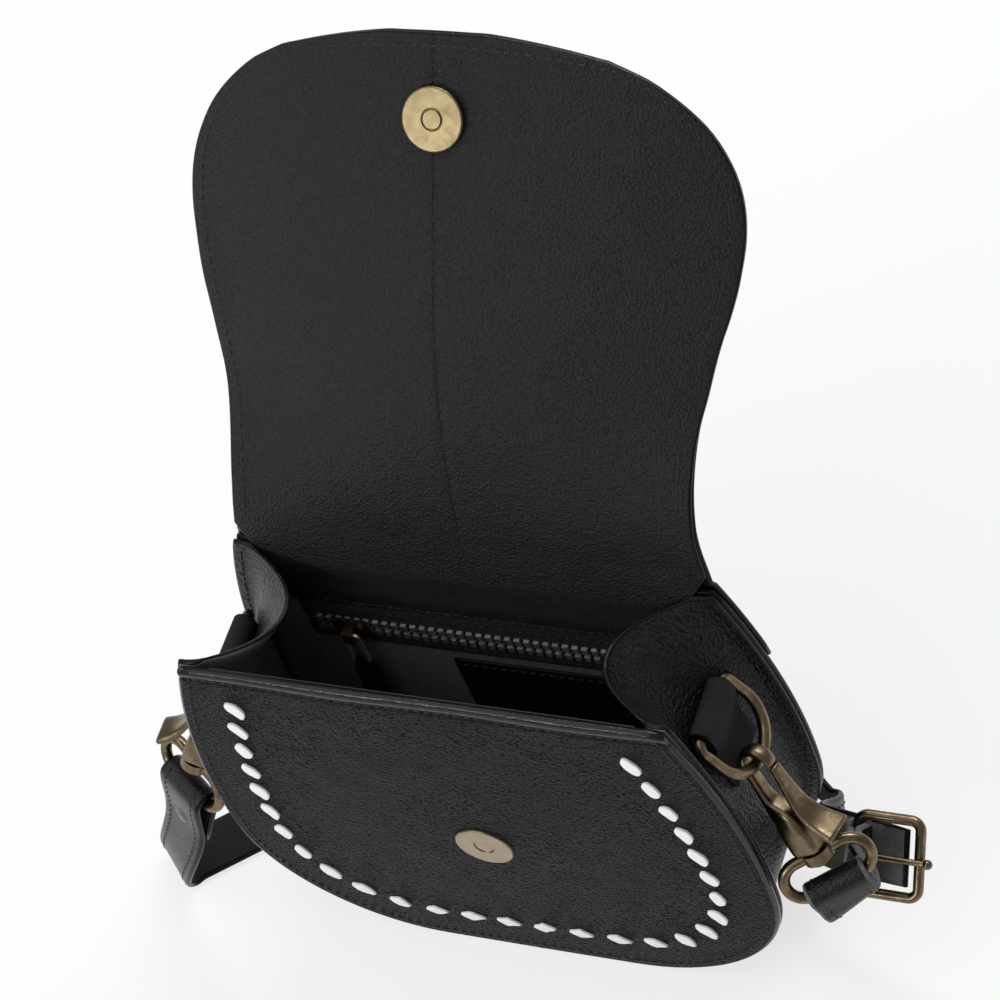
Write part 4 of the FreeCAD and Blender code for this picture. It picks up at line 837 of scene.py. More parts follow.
class HANDBAG_OT_linings(bpy.types.Operator):
    """Cloth linings, the bare label patch and the pouch behind the zip"""

    bl_idname = "handbag.linings"
    bl_label = "Linings"

    front_gap = 0.4 * MM
    front_drop = 1.2 * MM
    back_gap = 1.8 * MM
    back_drop = 6 * MM
    edge_gap = 2.6 * MM
    half_cloth = 0.35 * MM
    ripple_height = 0.12 * MM
    groove_depth = 0.35 * MM
    groove_width = 0.7 * MM
    label_dome = 0.25 * MM
    label_round = 0.5 * MM
    label_seam_inset = 2.2 * MM
    pouch_half_cloth = 0.15 * MM
    pouch_slack = 0.15 * MM
    pouch_round = 0.3 * MM
    pouch_inset = 0.4 * MM

    def execute(self, context):
        sizes = context.scene.handbag_sizes
        outline = PanelOutline(sizes)
        self.add_lining(sizes, outline, "lining_front_cloth", "lining_front",
                        -BAG_DEPTH / 2 + sizes.panel_leather + self.front_gap, sizes.panel_height - self.front_drop)
        self.add_lining(sizes, outline, "lining_back_cloth", "lining_back",
                        BAG_DEPTH / 2 - sizes.panel_leather - self.back_gap, sizes.back_height - self.back_drop)
        self.add_label(sizes)
        self.add_pouch()
        return {"FINISHED"}

    def add_lining(self, sizes, outline, name, node, middle, top):
        """One lining sheet with soft ripples and, at the back, a seam down its middle."""
        inset = sizes.seam_lip + sizes.gusset_leather + self.edge_gap
        seamed = node == "lining_back"

        def ripple(x, z):
            soft = self.ripple_height * math.sin(x * 70 + z * 45) * math.sin(z * 60 + 1.0)
            groove = self.groove_depth * hump(x, self.groove_width) if seamed else 0.0
            return soft + groove

        def side(offset):
            return panel_grid(outline, inset, heights, lambda x, z: middle + offset + ripple(x, z), columns=81)

        parts = MeshParts()
        heights = panel_heights(inset, top - self.half_cloth)
        parts.shell(side(-self.half_cloth), side(self.half_cloth), (0, 0, 1), steps=2)
        made = parts.piece(name, chosen("cloth", "raw_edge"))
        settle(made, "bag", "cloth_black", node)

    def add_label(self, sizes):
        """Bare leather patch with a stitched border."""
        low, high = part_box("label_patch")
        seam_inset = self.label_seam_inset

        def side(depth, bulge):
            return upright_grid(low, high, 13, 21, lambda up, across: depth - bulge * math.sin(math.pi * across)
                                * math.sin(math.pi * up), inset=self.label_round)

        parts = MeshParts()
        parts.shell(side(low.y, self.label_dome), side(high.y, 0.0), (0, 0, 1))
        left, right = low.x + seam_inset, high.x - seam_inset
        bottom, top = low.z + seam_inset, high.z - seam_inset
        corners = [(Vector((x, low.y - 0.1 * MM, z)), -Y_AXIS) for x, z in
                   ((left, bottom), (right, bottom), (right, top), (left, top))]
        for first, second in zip(corners, corners[1:] + corners[:1]):
            parts.seam([first, second], sizes, 2)
        made = parts.piece("label_patch_leather", chosen("leather", "edge", "thread"))
        settle(made, "bag", "leather_lining", "label_patch")

    def add_pouch(self):
        """Pouch between the lining and the back panel: one cloth folded at the bottom, in two slack layers."""
        low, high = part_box("pocket_pouch")
        half = self.pouch_half_cloth

        def side(depth):
            return upright_grid(low, high, 25, 33, lambda up, across: depth + self.pouch_slack * math.sin(9 * across)
                                * math.sin(7 * up), inset=self.pouch_round)

        parts = MeshParts()
        for depth in (low.y + self.pouch_inset, high.y - self.pouch_inset):
            parts.shell(side(depth - half), side(depth + half), (0, 0, 0), steps=1)
        made = parts.piece("pocket_pouch_cloth", chosen("cloth"))
        settle(made, "bag", "cloth_black", "pocket_pouch")


class HANDBAG_OT_zip(bpy.types.Operator):
    """Zip of the inside pocket: tapes, teeth, slider, wire pull and leather puller"""

    bl_idname = "handbag.zip"
    bl_label = "Zip"

    def execute(self, context):
        sizes = context.scene.handbag_sizes
        self.add_tapes(sizes)
        self.add_puller(sizes)
        # Painted light: the teeth and the wire pull take the zip metal, which is lightened to stand in for light
        # inside the bag
        for node, finish in (("zip_teeth", "zip_metal"), ("zip_slider", "antique"), ("zip_pull", "zip_metal")):
            dress(node, finish)
        return {"FINISHED"}

    def add_tapes(self, sizes):
        """Two woven tapes with a seam along each outer edge."""
        low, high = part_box("zip_tapes")
        teeth_low, teeth_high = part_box("zip_teeth")
        slit = 0.9 * MM
        swell = 0.12 * MM
        middle = (teeth_low.z + teeth_high.z) / 2
        parts = MeshParts()
        for side in (1, -1):
            outer = high.z if side > 0 else low.z
            first = Vector((low.x, 0, middle + side * slit))
            last = Vector((high.x, 0, outer))
            parts.shell(upright_grid(first, last, 7, 60, lambda up, across: low.y - swell * math.sin(math.pi * up)),
                        upright_grid(first, last, 7, 60, lambda up, across: high.y), (0, 0, 0), steps=2)
            seam_z = outer - side * 2 * MM
            parts.seam([(Vector((x, low.y - 0.1 * MM, seam_z)), -Y_AXIS) for x in (low.x, high.x)], sizes, 1)
        made = parts.piece("zip_tapes_cloth", chosen("tape", "thread"))
        settle(made, "bag", "cloth_black", "zip_tapes")

    def add_puller(self, sizes):
        """Slim folded leather puller on the wire pull."""
        low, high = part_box("zip_puller")
        middle = (low + high) / 2
        round_edge = 0.8 * MM
        half_wide = (high.x - low.x) / 2 - round_edge
        half_deep = (high.y - low.y) / 2 * 0.8

        def side(sign):
            rows = []
            for share in shares(15):
                narrowing = 0.62 + 0.38 * ramp(-share, -0.97, -0.8)
                thin = 0.55 + 0.45 * ramp(-share, -1.0, -0.75)
                rows.append([Vector((middle.x + (2 * across - 1) * half_wide * narrowing,
                                     middle.y + sign * half_deep * thin, between(low.z, high.z, share, round_edge)))
                             for across in shares(7)])
            return rows

        parts = MeshParts()
        parts.shell(side(-1), side(1), (0, 0, 1))
        parts.seam([(Vector((middle.x, low.y + 0.25 * MM, z)), -Y_AXIS) for z in (low.z + 2 * MM, high.z - 8 * MM)],
                   sizes, 2)
        made = parts.piece("zip_puller_leather", chosen("strap", "edge", "thread"))
        settle(made, "pull", "leather_black", "zip_puller")


# Snap

class HANDBAG_OT_snaps(bpy.types.Operator):
    """The two halves of the magnetic snap"""

    bl_idname = "handbag.snaps"
    bl_label = "Snaps"

    # Radius and height in millimetres, and number of the finish
    socket_profile = ((9.0, 0.0, 0), (9.0, 1.3, 0), (8.97, 1.5, 0), (8.85, 1.68, 0), (8.65, 1.78, 0), (8.45, 1.8, 1),
                      (8.35, 1.8, 1), (3.5, 1.8, 1), (3.4, 1.8, 1), (3.2, 1.76, 1), (3.05, 1.62, 2), (3.0, 1.45, 2),
                      (2.85, 1.4, 2), (2.7, 1.55, 1), (2.5, 1.6, 1), (0.05, 1.6, 1))
    stud_profile = ((9.0, 0.0, 0), (9.0, 1.2, 0), (8.97, 1.4, 0), (8.85, 1.58, 0), (8.65, 1.68, 0), (8.45, 1.7, 0),
                    (8.35, 1.7, 0), (3.3, 1.7, 0), (3.2, 1.7, 0), (3.1, 1.62, 0), (3.05, 1.35, 0), (2.85, 1.35, 0),
                    (2.8, 1.6, 0), (2.7, 1.76, 0), (2.55, 1.82, 0), (2.45, 1.82, 0), (0.05, 1.84, 0))
    flap_lean = math.radians(40)

    def execute(self, context):
        self.add_half("snap_front", self.socket_profile, -Y_AXIS, "bag", ("gold", "pale", "dark_brass"), "brass_pale")
        flap_out = Vector((0, -math.cos(self.flap_lean), math.sin(self.flap_lean)))
        self.add_half("snap_flap", self.stud_profile, flap_out, "flap_front", ("gold",), "brass_gold")
        return {"FINISHED"}

    def add_half(self, node, profile, axis, body, finish_names, slot):
        """One turned half, standing on the leather behind it."""
        corners = [vertex.co for vertex in frame["nodes"][node].data.vertices]
        low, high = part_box(node)
        middle = (low + high) / 2
        foot = middle + axis * (min(corner.dot(axis) for corner in corners) - middle.dot(axis))
        parts = MeshParts()
        parts.turned(profile, foot, axis)
        made = parts.piece(node + "_turned", chosen(*finish_names))
        settle(made, body, slot, node)


# Flap

# Middle line (depth, height) and half widths (run along the side, half width) of the open flap, in millimetres
FLAP_MIDDLE = [(21.9, 139.0), (28.4, 160.0), (34.8, 176.0), (42.3, 190.3), (54.6, 207.6), (66.6, 221.2),
               (76.8, 233.2), (87.4, 245.4), (97.8, 257.4), (106.6, 268.0)]
FLAP_HALF_WIDTHS = [(0, 74.6), (15, 72.1), (22, 71.4), (35, 71.3), (48, 72.5), (60, 75.0), (71, 77.4), (82, 80.2),
                    (93, 82.6), (104, 84.0), (115, 83.2), (125, 79.7), (135, 72.9), (145, 60.5), (150, 50.0)]
# Runs along the flap's side to the join of its two sheets and to its end, and the reach at which it curls fully
FLAP_JOIN = 30 * MM
FLAP_SIDE_RUN = 150 * MM
FLAP_CURL_REACH = 84 * MM
# Shares of the thickness between the layers, and of the length between a seam's end and the join
FLAP_LAYER_GAP = 0.03
FLAP_SEAM_GAP = 0.004


class FlapSurface:
    """The curved sheet of the open flap, from the back's top edge to the tip."""

    # The share of the length from which the tip has a seam, and that seam's share of the width
    tip_from = 0.97
    tip_span = 0.92
    curl_runs = (12 * MM, 60 * MM)
    ripple_height = 0.5 * MM
    seam_depth = 0.45 * MM
    seam_width = 0.6 * MM
    seam_offset = 0.006

    def __init__(self, sizes):
        self.sizes = sizes
        runs = run_lengths(FLAP_MIDDLE)
        self.run = runs[-1] * MM
        self.depths, self.heights = [[(run * MM, point[axis] * MM) for run, point in zip(runs, FLAP_MIDDLE)]
                                     for axis in (0, 1)]
        self.widths = [(run * MM, width * MM) for run, width in FLAP_HALF_WIDTHS]

    def frame_at(self, run):
        """Point of the middle line and the direction towards the outer leather."""
        step = 0.5 * MM
        point = Vector((0, smooth_between(self.depths, run), smooth_between(self.heights, run)))
        along = Vector((0, smooth_between(self.depths, run + step) - smooth_between(self.depths, run - step),
                        smooth_between(self.heights, run + step) - smooth_between(self.heights, run - step)))
        along.normalize()
        return point, Vector((0, along.z, -along.y))

    def point(self, share, across, through):
        """Point at a share of the flap's length, across from -1 to 1, and through its leather from 0 to 1."""
        side_run = share * FLAP_SIDE_RUN
        run = side_run + share * (self.run - FLAP_SIDE_RUN) * (1 - across ** 2)
        reach = smooth_between(self.widths, side_run) - self.sizes.flap_leather / 2
        x = across * reach
        middle, outward = self.frame_at(min(run, self.run - 0.6 * MM))
        spread = ramp(run, *self.curl_runs)
        curl = self.sizes.flap_curl * (x / FLAP_CURL_REACH) ** 2 * spread
        ripple = self.ripple_height * math.sin(x * 55 + 0.8) * math.sin(run * 48 + 0.5) * ramp(run, 0.004, 0.03)
        seam = self.seam_depth * hump(x, self.seam_width) if through == 0.0 else 0.0
        bend = math.atan2(2 * self.sizes.flap_curl * x * spread, FLAP_CURL_REACH ** 2)
        outer = outward * math.cos(bend) - X_AXIS * math.sin(bend)
        place = middle + X_AXIS * x + outward * (curl + ripple + seam)
        return spot(*(place + outer * (through * self.sizes.flap_leather)))

    def columns(self):
        """Places across the flap, closer together at the middle seam."""
        side = [0.004, 0.009, 0.016] + [0.04 + 0.96 * share for share in shares(28)]
        return [-value for value in reversed(side)] + [0.0] + side

    def layer(self, first, last, rows, inner, outer):
        """Grids of the two sides of a layer, given through the leather, between two shares of the length."""
        lengths = [between(first, last, share) for share in shares(rows)]
        return [[[self.point(along, across, through) for across in self.columns()] for along in lengths]
                for through in (inner, outer)]

    def edge_seams(self, first, last, through):
        """Lines along both sides, and round the tip when it is reached, inside the edge."""
        inset = self.sizes.stitch_inset
        lines = []
        for side in (-1, 1):
            line = []
            for share in shares(60):
                along = between(first, last, share)
                reach = smooth_between(self.widths, along * FLAP_SIDE_RUN)
                line.append(self.seam_point(along, side * (1 - inset / reach), through))
            lines.append(line)
        if last > self.tip_from:
            lines.append([self.seam_point(last, self.tip_span * (2 * share - 1), through) for share in shares(60)])
        return lines

    def middle_seam(self, first, last):
        """Line down the middle of the lining, beside its groove."""
        return [self.seam_point(between(first, last, share), self.seam_offset, 0.0) for share in shares(60)]

    def seam_point(self, share, across, through):
        """A seam's point on the leather and the direction away from it."""
        place = self.point(share, across, through)
        other = self.point(share, across, 1.0 - through)
        return place, (place - other).normalized()


class HANDBAG_OT_flap(bpy.types.Operator):
    """Flap in two sheets, one across the back edge and one across the fold, and the strip sewn on the back"""

    bl_idname = "handbag.flap"
    bl_label = "Flap"

    ply_gap = 0.1 * MM
    strip_leather = 1.8 * MM
    strip_round = 0.9 * MM
    tuck_leather = 0.8 * MM
    tuck_inset = 9.5 * MM
    tuck_seam_inset = 13 * MM
    row_distance = 3.2 * MM

    def execute(self, context):
        sizes = context.scene.handbag_sizes
        surface = FlapSurface(sizes)
        join = FLAP_JOIN / FLAP_SIDE_RUN
        hinge, _ = joint("flap_hinge")
        fold, _ = joint("flap_fold")
        up = (fold - hinge).normalized()
        self.add_root(sizes, surface, join, hinge, up)
        self.add_front(sizes, surface, join, fold, up)
        return {"FINISHED"}

    def add_root(self, sizes, surface, join, hinge, up):
        """The sheet that crosses the back's top edge: a strip down the outside and its lining down the inside."""
        outline = PanelOutline(sizes)
        lining_share = sizes.flap_lining_share
        back = BAG_DEPTH / 2
        strip_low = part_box("flap_back_strip")[0].z - BAG_ORIGIN.z
        lining_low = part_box("zip_tapes")[1].z - BAG_ORIGIN.z + 1.5 * MM
        lining_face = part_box("lining_back")[0].y - BAG_ORIGIN.y
        parts = MeshParts()
        strip_face = back + self.ply_gap + self.strip_leather
        tuck_face = lining_face - self.ply_gap - self.tuck_leather
        strip = self.upright(outline, surface, strip_low + self.strip_round, sizes.back_height, self.strip_round,
                             (back + self.ply_gap, strip_face))
        outer = surface.layer(0.02, join, 12, lining_share + FLAP_LAYER_GAP, 1.0)
        hidden = self.upright(outline, surface, lining_low, sizes.back_height - 4 * MM, self.tuck_inset,
                              (tuck_face, lining_face - self.ply_gap))
        inner = surface.layer(0.045, join, 12, 0.0, lining_share)
        for low, high, slot in ((strip, outer, 0), (hidden, inner, 1)):
            first, second = [lower + upper for lower, upper in zip(low, high)]
            parts.shell(first, second, (slot, slot, 2), open_row=len(first) - 1)
        seam_z = strip_low + sizes.stitch_inset
        reach = outline.half_width(sizes.stitch_inset, seam_z)
        tuck_z = lining_low + 1.6 * MM
        lines = [level_line(reach, strip_face, seam_z + rise, Y_AXIS) for rise in (0.0, self.row_distance)]
        lines.append(level_line(outline.half_width(self.tuck_seam_inset, tuck_z), tuck_face, tuck_z, -Y_AXIS))
        for through in (0.0, 1.0):
            lines += surface.edge_seams(0.06, join - FLAP_SEAM_GAP, through)
        for line in lines + [surface.middle_seam(0.05, join)]:
            parts.seam(line, sizes, 3)
        made = parts.piece("flap_root_leather", chosen("leather", "lining", "edge", "thread"))
        settle(made, None, "leather_black", "flap_top_lining", "flap_top_outer", "flap_back_strip")
        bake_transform(made)

    def upright(self, outline, surface, low, high, inset, depths):
        """Two grids of an upright sheet against the back, between two heights."""
        heights = [between(low, high, share) for share in shares(9)]
        return [[[spot(across * outline.half_width(inset, z), depth, z) for across in surface.columns()]
                 for z in heights] for depth in depths]

    def add_front(self, sizes, surface, join, fold, up):
        """The sheet that crosses the fold and hangs over the front when closed."""
        parts = MeshParts()
        lining_share = sizes.flap_lining_share
        for inner, outer, slot in ((0.0, lining_share, 1), (lining_share + FLAP_LAYER_GAP, 1.0, 0)):
            sides = surface.layer(join, 1.0, 60, inner, outer)
            parts.shell(sides[0], sides[1], (slot, slot, 2), open_row=0)
        for through in (0.0, 1.0):
            for line in surface.edge_seams(join + FLAP_SEAM_GAP, 0.978, through):
                parts.seam(line, sizes, 3)
        parts.seam(surface.middle_seam(join, 0.985), sizes, 3)
        made = parts.piece("flap_front_leather", chosen("leather", "lining", "edge", "thread"))
        settle(made, None, "leather_black", "flap_front_lining", "flap_front_outer")
        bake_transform(made)


# Tabs, rings and hooks

class HANDBAG_OT_side_tabs(bpy.types.Operator):
    """Folded tabs that hold the D-rings on the gusset"""

    bl_idname = "handbag.side_tabs"
    bl_label = "Side tabs"

    # Places (out, down) in millimetres from the ring's bar
    tab_line = ((-4.6, 23.0), (-4.6, 16.0), (-4.4, 8.0), (-3.5, 3.0), (-2.9, 0.0), (-2.05, -2.05), (0.0, -2.9),
                (2.05, -2.05), (2.9, 0.0), (2.5, 3.0), (0.6, 7.0), (-1.4, 10.6), (-2.6, 15.0), (-2.8, 19.0),
                (-2.8, 23.0))
    lean = math.radians(20)
    half_leather = 0.72 * MM
    inner_curl = 0.35 * MM

    def execute(self, context):
        sizes = context.scene.handbag_sizes
        for side, name, ring in ((1, "right", "ring_right_swing"), (-1, "left", "ring_left_swing")):
            self.add_tab(sizes, side, name, joint(ring)[0])
        return {"FINISHED"}

    def add_tab(self, sizes, side, name, bar):
        """One tab: leather that goes up the gusset, over the ring's bar and down again."""
        out = Vector((side * math.cos(self.lean), 0, math.sin(self.lean)))
        down = Vector((side * math.sin(self.lean), 0, -math.cos(self.lean)))
        low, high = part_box("side_tab_" + name)
        half_wide = (high.y - low.y) / 2 - 0.75 * MM
        line = [bar + out * (first * MM) + down * (second * MM) for first, second in smooth_line(self.tab_line, 4)]
        front = []
        back = []
        for number, (before, place, after) in enumerate(with_neighbours(line)):
            along = (after - before).normalized()
            away = along.cross(Y_AXIS).normalized() * (-side * self.half_leather)
            spread = ramp((place - bar).dot(down), 4 * MM, 12 * MM)
            curl = self.inner_curl * spread if number < len(line) // 2 else 0.0
            row = [place + Y_AXIS * (across * half_wide) + out * (curl * across ** 2)
                   for across in [2 * share - 1 for share in shares(11)]]
            front.append([middle + away for middle in row])
            back.append([middle - away for middle in row])
        parts = MeshParts()
        parts.shell(front, back, (0, 1, 2))
        outer_leg = [row for place, row in zip(line, front) if (place - bar).dot(out) > -3 * MM
                     and 11 * MM < (place - bar).dot(down) < 21 * MM]
        for column in (1, 9):
            parts.seam([(row[column], out) for row in outer_leg], sizes, 3)
        made = parts.piece("side_tab_leather_" + name, chosen("strap", "dark_suede", "edge", "thread"))
        settle(made, "bag", "leather_black", "side_tab_" + name)


class HANDBAG_OT_hardware(bpy.types.Operator):
    """D-rings, swivel hooks with their levers, and eye rings"""

    bl_idname = "handbag.hardware"
    bl_label = "Rings and hooks"

    # Places (out, up) in millimetres from the wire that the hook holds, half thickness, half width and squareness
    hook_line = ((4.4, -1.0, 0.8, 1.8, 2.2), (4.45, 0.0, 1.1, 2.2, 2.2), (3.8, 2.2, 1.2, 2.35, 2.2),
                 (2.2, 3.85, 1.25, 2.4, 2.2), (0.0, 4.45, 1.25, 2.4, 2.2), (-2.2, 3.85, 1.25, 2.4, 2.2),
                 (-3.8, 2.2, 1.25, 2.4, 2.2), (-4.4, 0.0, 1.2, 2.45, 2.2), (-4.4, -5.0, 1.2, 2.5, 2.4),
                 (-4.4, -10.0, 1.25, 2.6, 2.8), (-4.2, -13.5, 1.6, 2.9, 3.2), (-3.0, -16.5, 2.7, 3.6, 4.0),
                 (-1.3, -19.5, 3.9, 4.3, 5.0), (-0.7, -23.0, 4.6, 4.7, 6.0), (-0.5, -27.0, 4.9, 4.75, 6.0),
                 (-0.4, -30.5, 4.9, 4.75, 6.0), (-0.3, -31.7, 4.4, 4.3, 5.0))
    lever_line = ((4.75, -1.8, 0.7, 1.7, 2.4), (4.75, -2.6, 1.0, 2.0, 2.6), (4.75, -6.0, 1.05, 2.2, 3.0),
                  (4.75, -10.0, 1.05, 2.6, 3.6), (4.95, -14.0, 1.05, 3.2, 4.0), (5.6, -17.5, 1.1, 3.7, 4.5),
                  (7.1, -20.8, 1.15, 4.3, 5.0), (9.3, -23.7, 1.15, 4.9, 5.0), (12.0, -26.1, 1.1, 5.4, 5.0),
                  (12.7, -26.6, 0.7, 5.1, 4.0))
    post_profile = ((2.2, 31.0, 0), (2.2, 35.9, 0), (3.1, 35.95, 0), (3.35, 36.3, 0), (3.1, 36.9, 0), (1.8, 37.15, 0),
                    (0.05, 37.2, 0))
    ring_corners = 28

    def execute(self, context):
        for side in ("right", "left"):
            self.add_hook(side)
            self.add_lever(side)
            for ring in ("d_ring_", "eye_ring_"):
                dress(ring + side, "antique")
        return {"FINISHED"}

    def add_hook(self, side):
        """Cast hook with its nose, block and swivel post."""
        origin, _, _, up = self.axes()
        parts = MeshParts()
        parts.rings(self.cast_rings(self.hook_line, 4), 0)
        parts.turned(self.post_profile, origin, -up, 24)
        self.finish_piece(parts, side, "hook_cast_", "clip_", "hook_")

    def add_lever(self, side):
        """Sprung lever with its flared thumb end."""
        parts = MeshParts()
        parts.rings(self.cast_rings(self.lever_line, 4), 0)
        self.finish_piece(parts, side, "lever_cast_", "gate_", "lever_")

    def axes(self):
        """Middle of the held wire and the hook's directions out, along the wire and up, on the right."""
        origin, down = joint("clip_right_swivel")
        along = joint("gate_right_press")[1]
        return origin, along.cross(-down).normalized(), along, -down

    def cast_rings(self, line, steps):
        """Rings of a cast bar whose thickness, width and squareness change along a line."""
        origin, out, along, up = self.axes()
        entries = smooth_line(line, steps)
        rows = []
        for before, (reach, height, thick, wide, square), after in with_neighbours(entries):
            forward = (out * (after[0] - before[0]) + up * (after[1] - before[1])).normalized()
            across = along.cross(forward)
            centre = origin + (out * reach + up * height) * MM
            row = []
            for corner in range(self.ring_corners):
                angle = 2 * math.pi * corner / self.ring_corners
                cosine = math.cos(angle)
                sine = math.sin(angle)
                spread = (abs(cosine) ** square + abs(sine) ** square) ** (-1 / square)
                row.append(centre + (across * (cosine * thick) + along * (sine * wide)) * (spread * MM))
            rows.append(row)
        return rows

    def finish_piece(self, parts, side, name, body, node):
        """Mirrors a piece for the left and ties it to its body."""
        if side == "left":
            parts.points = [Vector((2 * BAG_ORIGIN.x - point.x, point.y, point.z)) for point in parts.points]
        made = parts.piece(name + side, chosen("antique"))
        settle(made, body + side, "brass_antique", node + side)


# Strap

# Distance from the held wire to the eye ring's bar, and the radii that the leather bends round
HOOK_TO_EYE = 45.9 * MM
EYE_HOLE = 2.35 * MM
HEEL_HOLE = 1.85 * MM
# Directions of the eye ring's bar, of the short tab and of the strap's loop
EYE_ALONG = Vector((0.81, 0.54, 0.21))
TAB_DIRECTION = Vector((0.4, 0.0, -0.92))
LEG_DIRECTION = Vector((-0.43, -0.04, -0.9))
# Plan (x, y) in millimetres of the strap on the floor, where it lies flat and where it stands on edge
STRAP_FLAT_PLAN = [(-123.0, -12.4), (-108.0, 0.4)]
STRAP_EDGE_PLAN = [(-84, 30), (-82, 43), (-87, 60), (-105, 90), (-127, 134), (-137, 178), (-129, 200), (-113, 192),
                   (-99, 150), (-86, 106), (-74, 91), (-64, 103), (-69, 135), (-81, 174), (-81, 197), (-69, 203),
                   (-59, 188), (-50, 145), (-34, 95), (-5, 60), (35, 48), (66, 43), (80, 33.5)]


def square_to(vector, axis):
    """Unit vector of what is left of a vector square to an axis."""
    return (vector - axis * vector.dot(axis)).normalized()


def swing(first, last, pull, steps):
    """Stations (place, direction, width direction) of a free bend between two end stations."""
    stations = []
    for share in shares(steps + 1):
        rest = 1 - share
        place = (first[0] * (rest ** 2 * (1 + 2 * share)) + first[1] * (pull * share * rest ** 2)
                 + last[0] * (share ** 2 * (1 + 2 * rest)) - last[1] * (pull * rest * share ** 2))
        slope = ((last[0] - first[0]) * (6 * share * rest) + first[1] * (pull * rest * (1 - 3 * share))
                 + last[1] * (pull * share * (1 - 3 * rest)))
        stations.append((place, slope.normalized(), first[2].lerp(last[2], share)))
    return stations


def wrap(centre, leg, thick, radius, width_dir, steps=9):
    """Stations round a bar, from the side away from thick, over the end away from the leg, to the other side."""
    stations = []
    for share in shares(steps):
        angle = math.pi * share
        place = centre - thick * (radius * math.cos(angle)) - leg * (radius * math.sin(angle))
        forward = thick * math.sin(angle) - leg * math.cos(angle)
        stations.append((place, forward.normalized(), width_dir))
    return stations


def band(parts, stations, sizes, slots):
    """Strap leather through stations, with its grain on the far side of the width direction, and edge seams."""
    leather = sizes.strap_leather
    half = sizes.strap_width / 2 - leather / 2
    grain = []
    flesh = []
    for place, forward, width_dir in stations:
        flat = square_to(width_dir, forward)
        thick = forward.cross(flat)
        row = [place + flat * (half * (2 * share - 1)) for share in shares(9)]
        grain.append([point + thick * (leather / 2) for point in row])
        flesh.append([point - thick * (leather / 2) for point in row])
    parts.shell(grain, flesh, slots)
    for column in (1, 7):
        parts.seam([(top[column], (top[column] - under[column]).normalized())
                    for top, under in zip(grain[1:-1], flesh[1:-1])], sizes, 3)


def rest_on_floor(station, width, leather):
    """Station moved so that the band's lowest edge lies on the floor."""
    place, forward, width_dir = station
    flat = square_to(width_dir, forward)
    thick = forward.cross(flat)
    height = abs(flat.z) * width / 2 + abs(thick.z) * leather / 2
    return Vector((place.x, place.y, BAG_ORIGIN.z + height)), forward, width_dir


def eye_bar_frame(side):
    """Middle and direction of the eye ring's lower bar on the right (1) or the left (-1)."""
    hook, down = joint("clip_right_swivel")
    bar = hook + down * HOOK_TO_EYE
    along = square_to(EYE_ALONG, down)
    if side < 0:
        bar = Vector((2 * BAG_ORIGIN.x - bar.x, bar.y, bar.z))
        along = Vector((along.x, -along.y, -along.z))
    return bar, along


def buckle_frame_axes():
    """Heel bar's middle, its direction and the buckle's front."""
    heel, axis = joint("prong_lift")
    bar = -axis
    return heel, bar, X_AXIS.cross(bar)


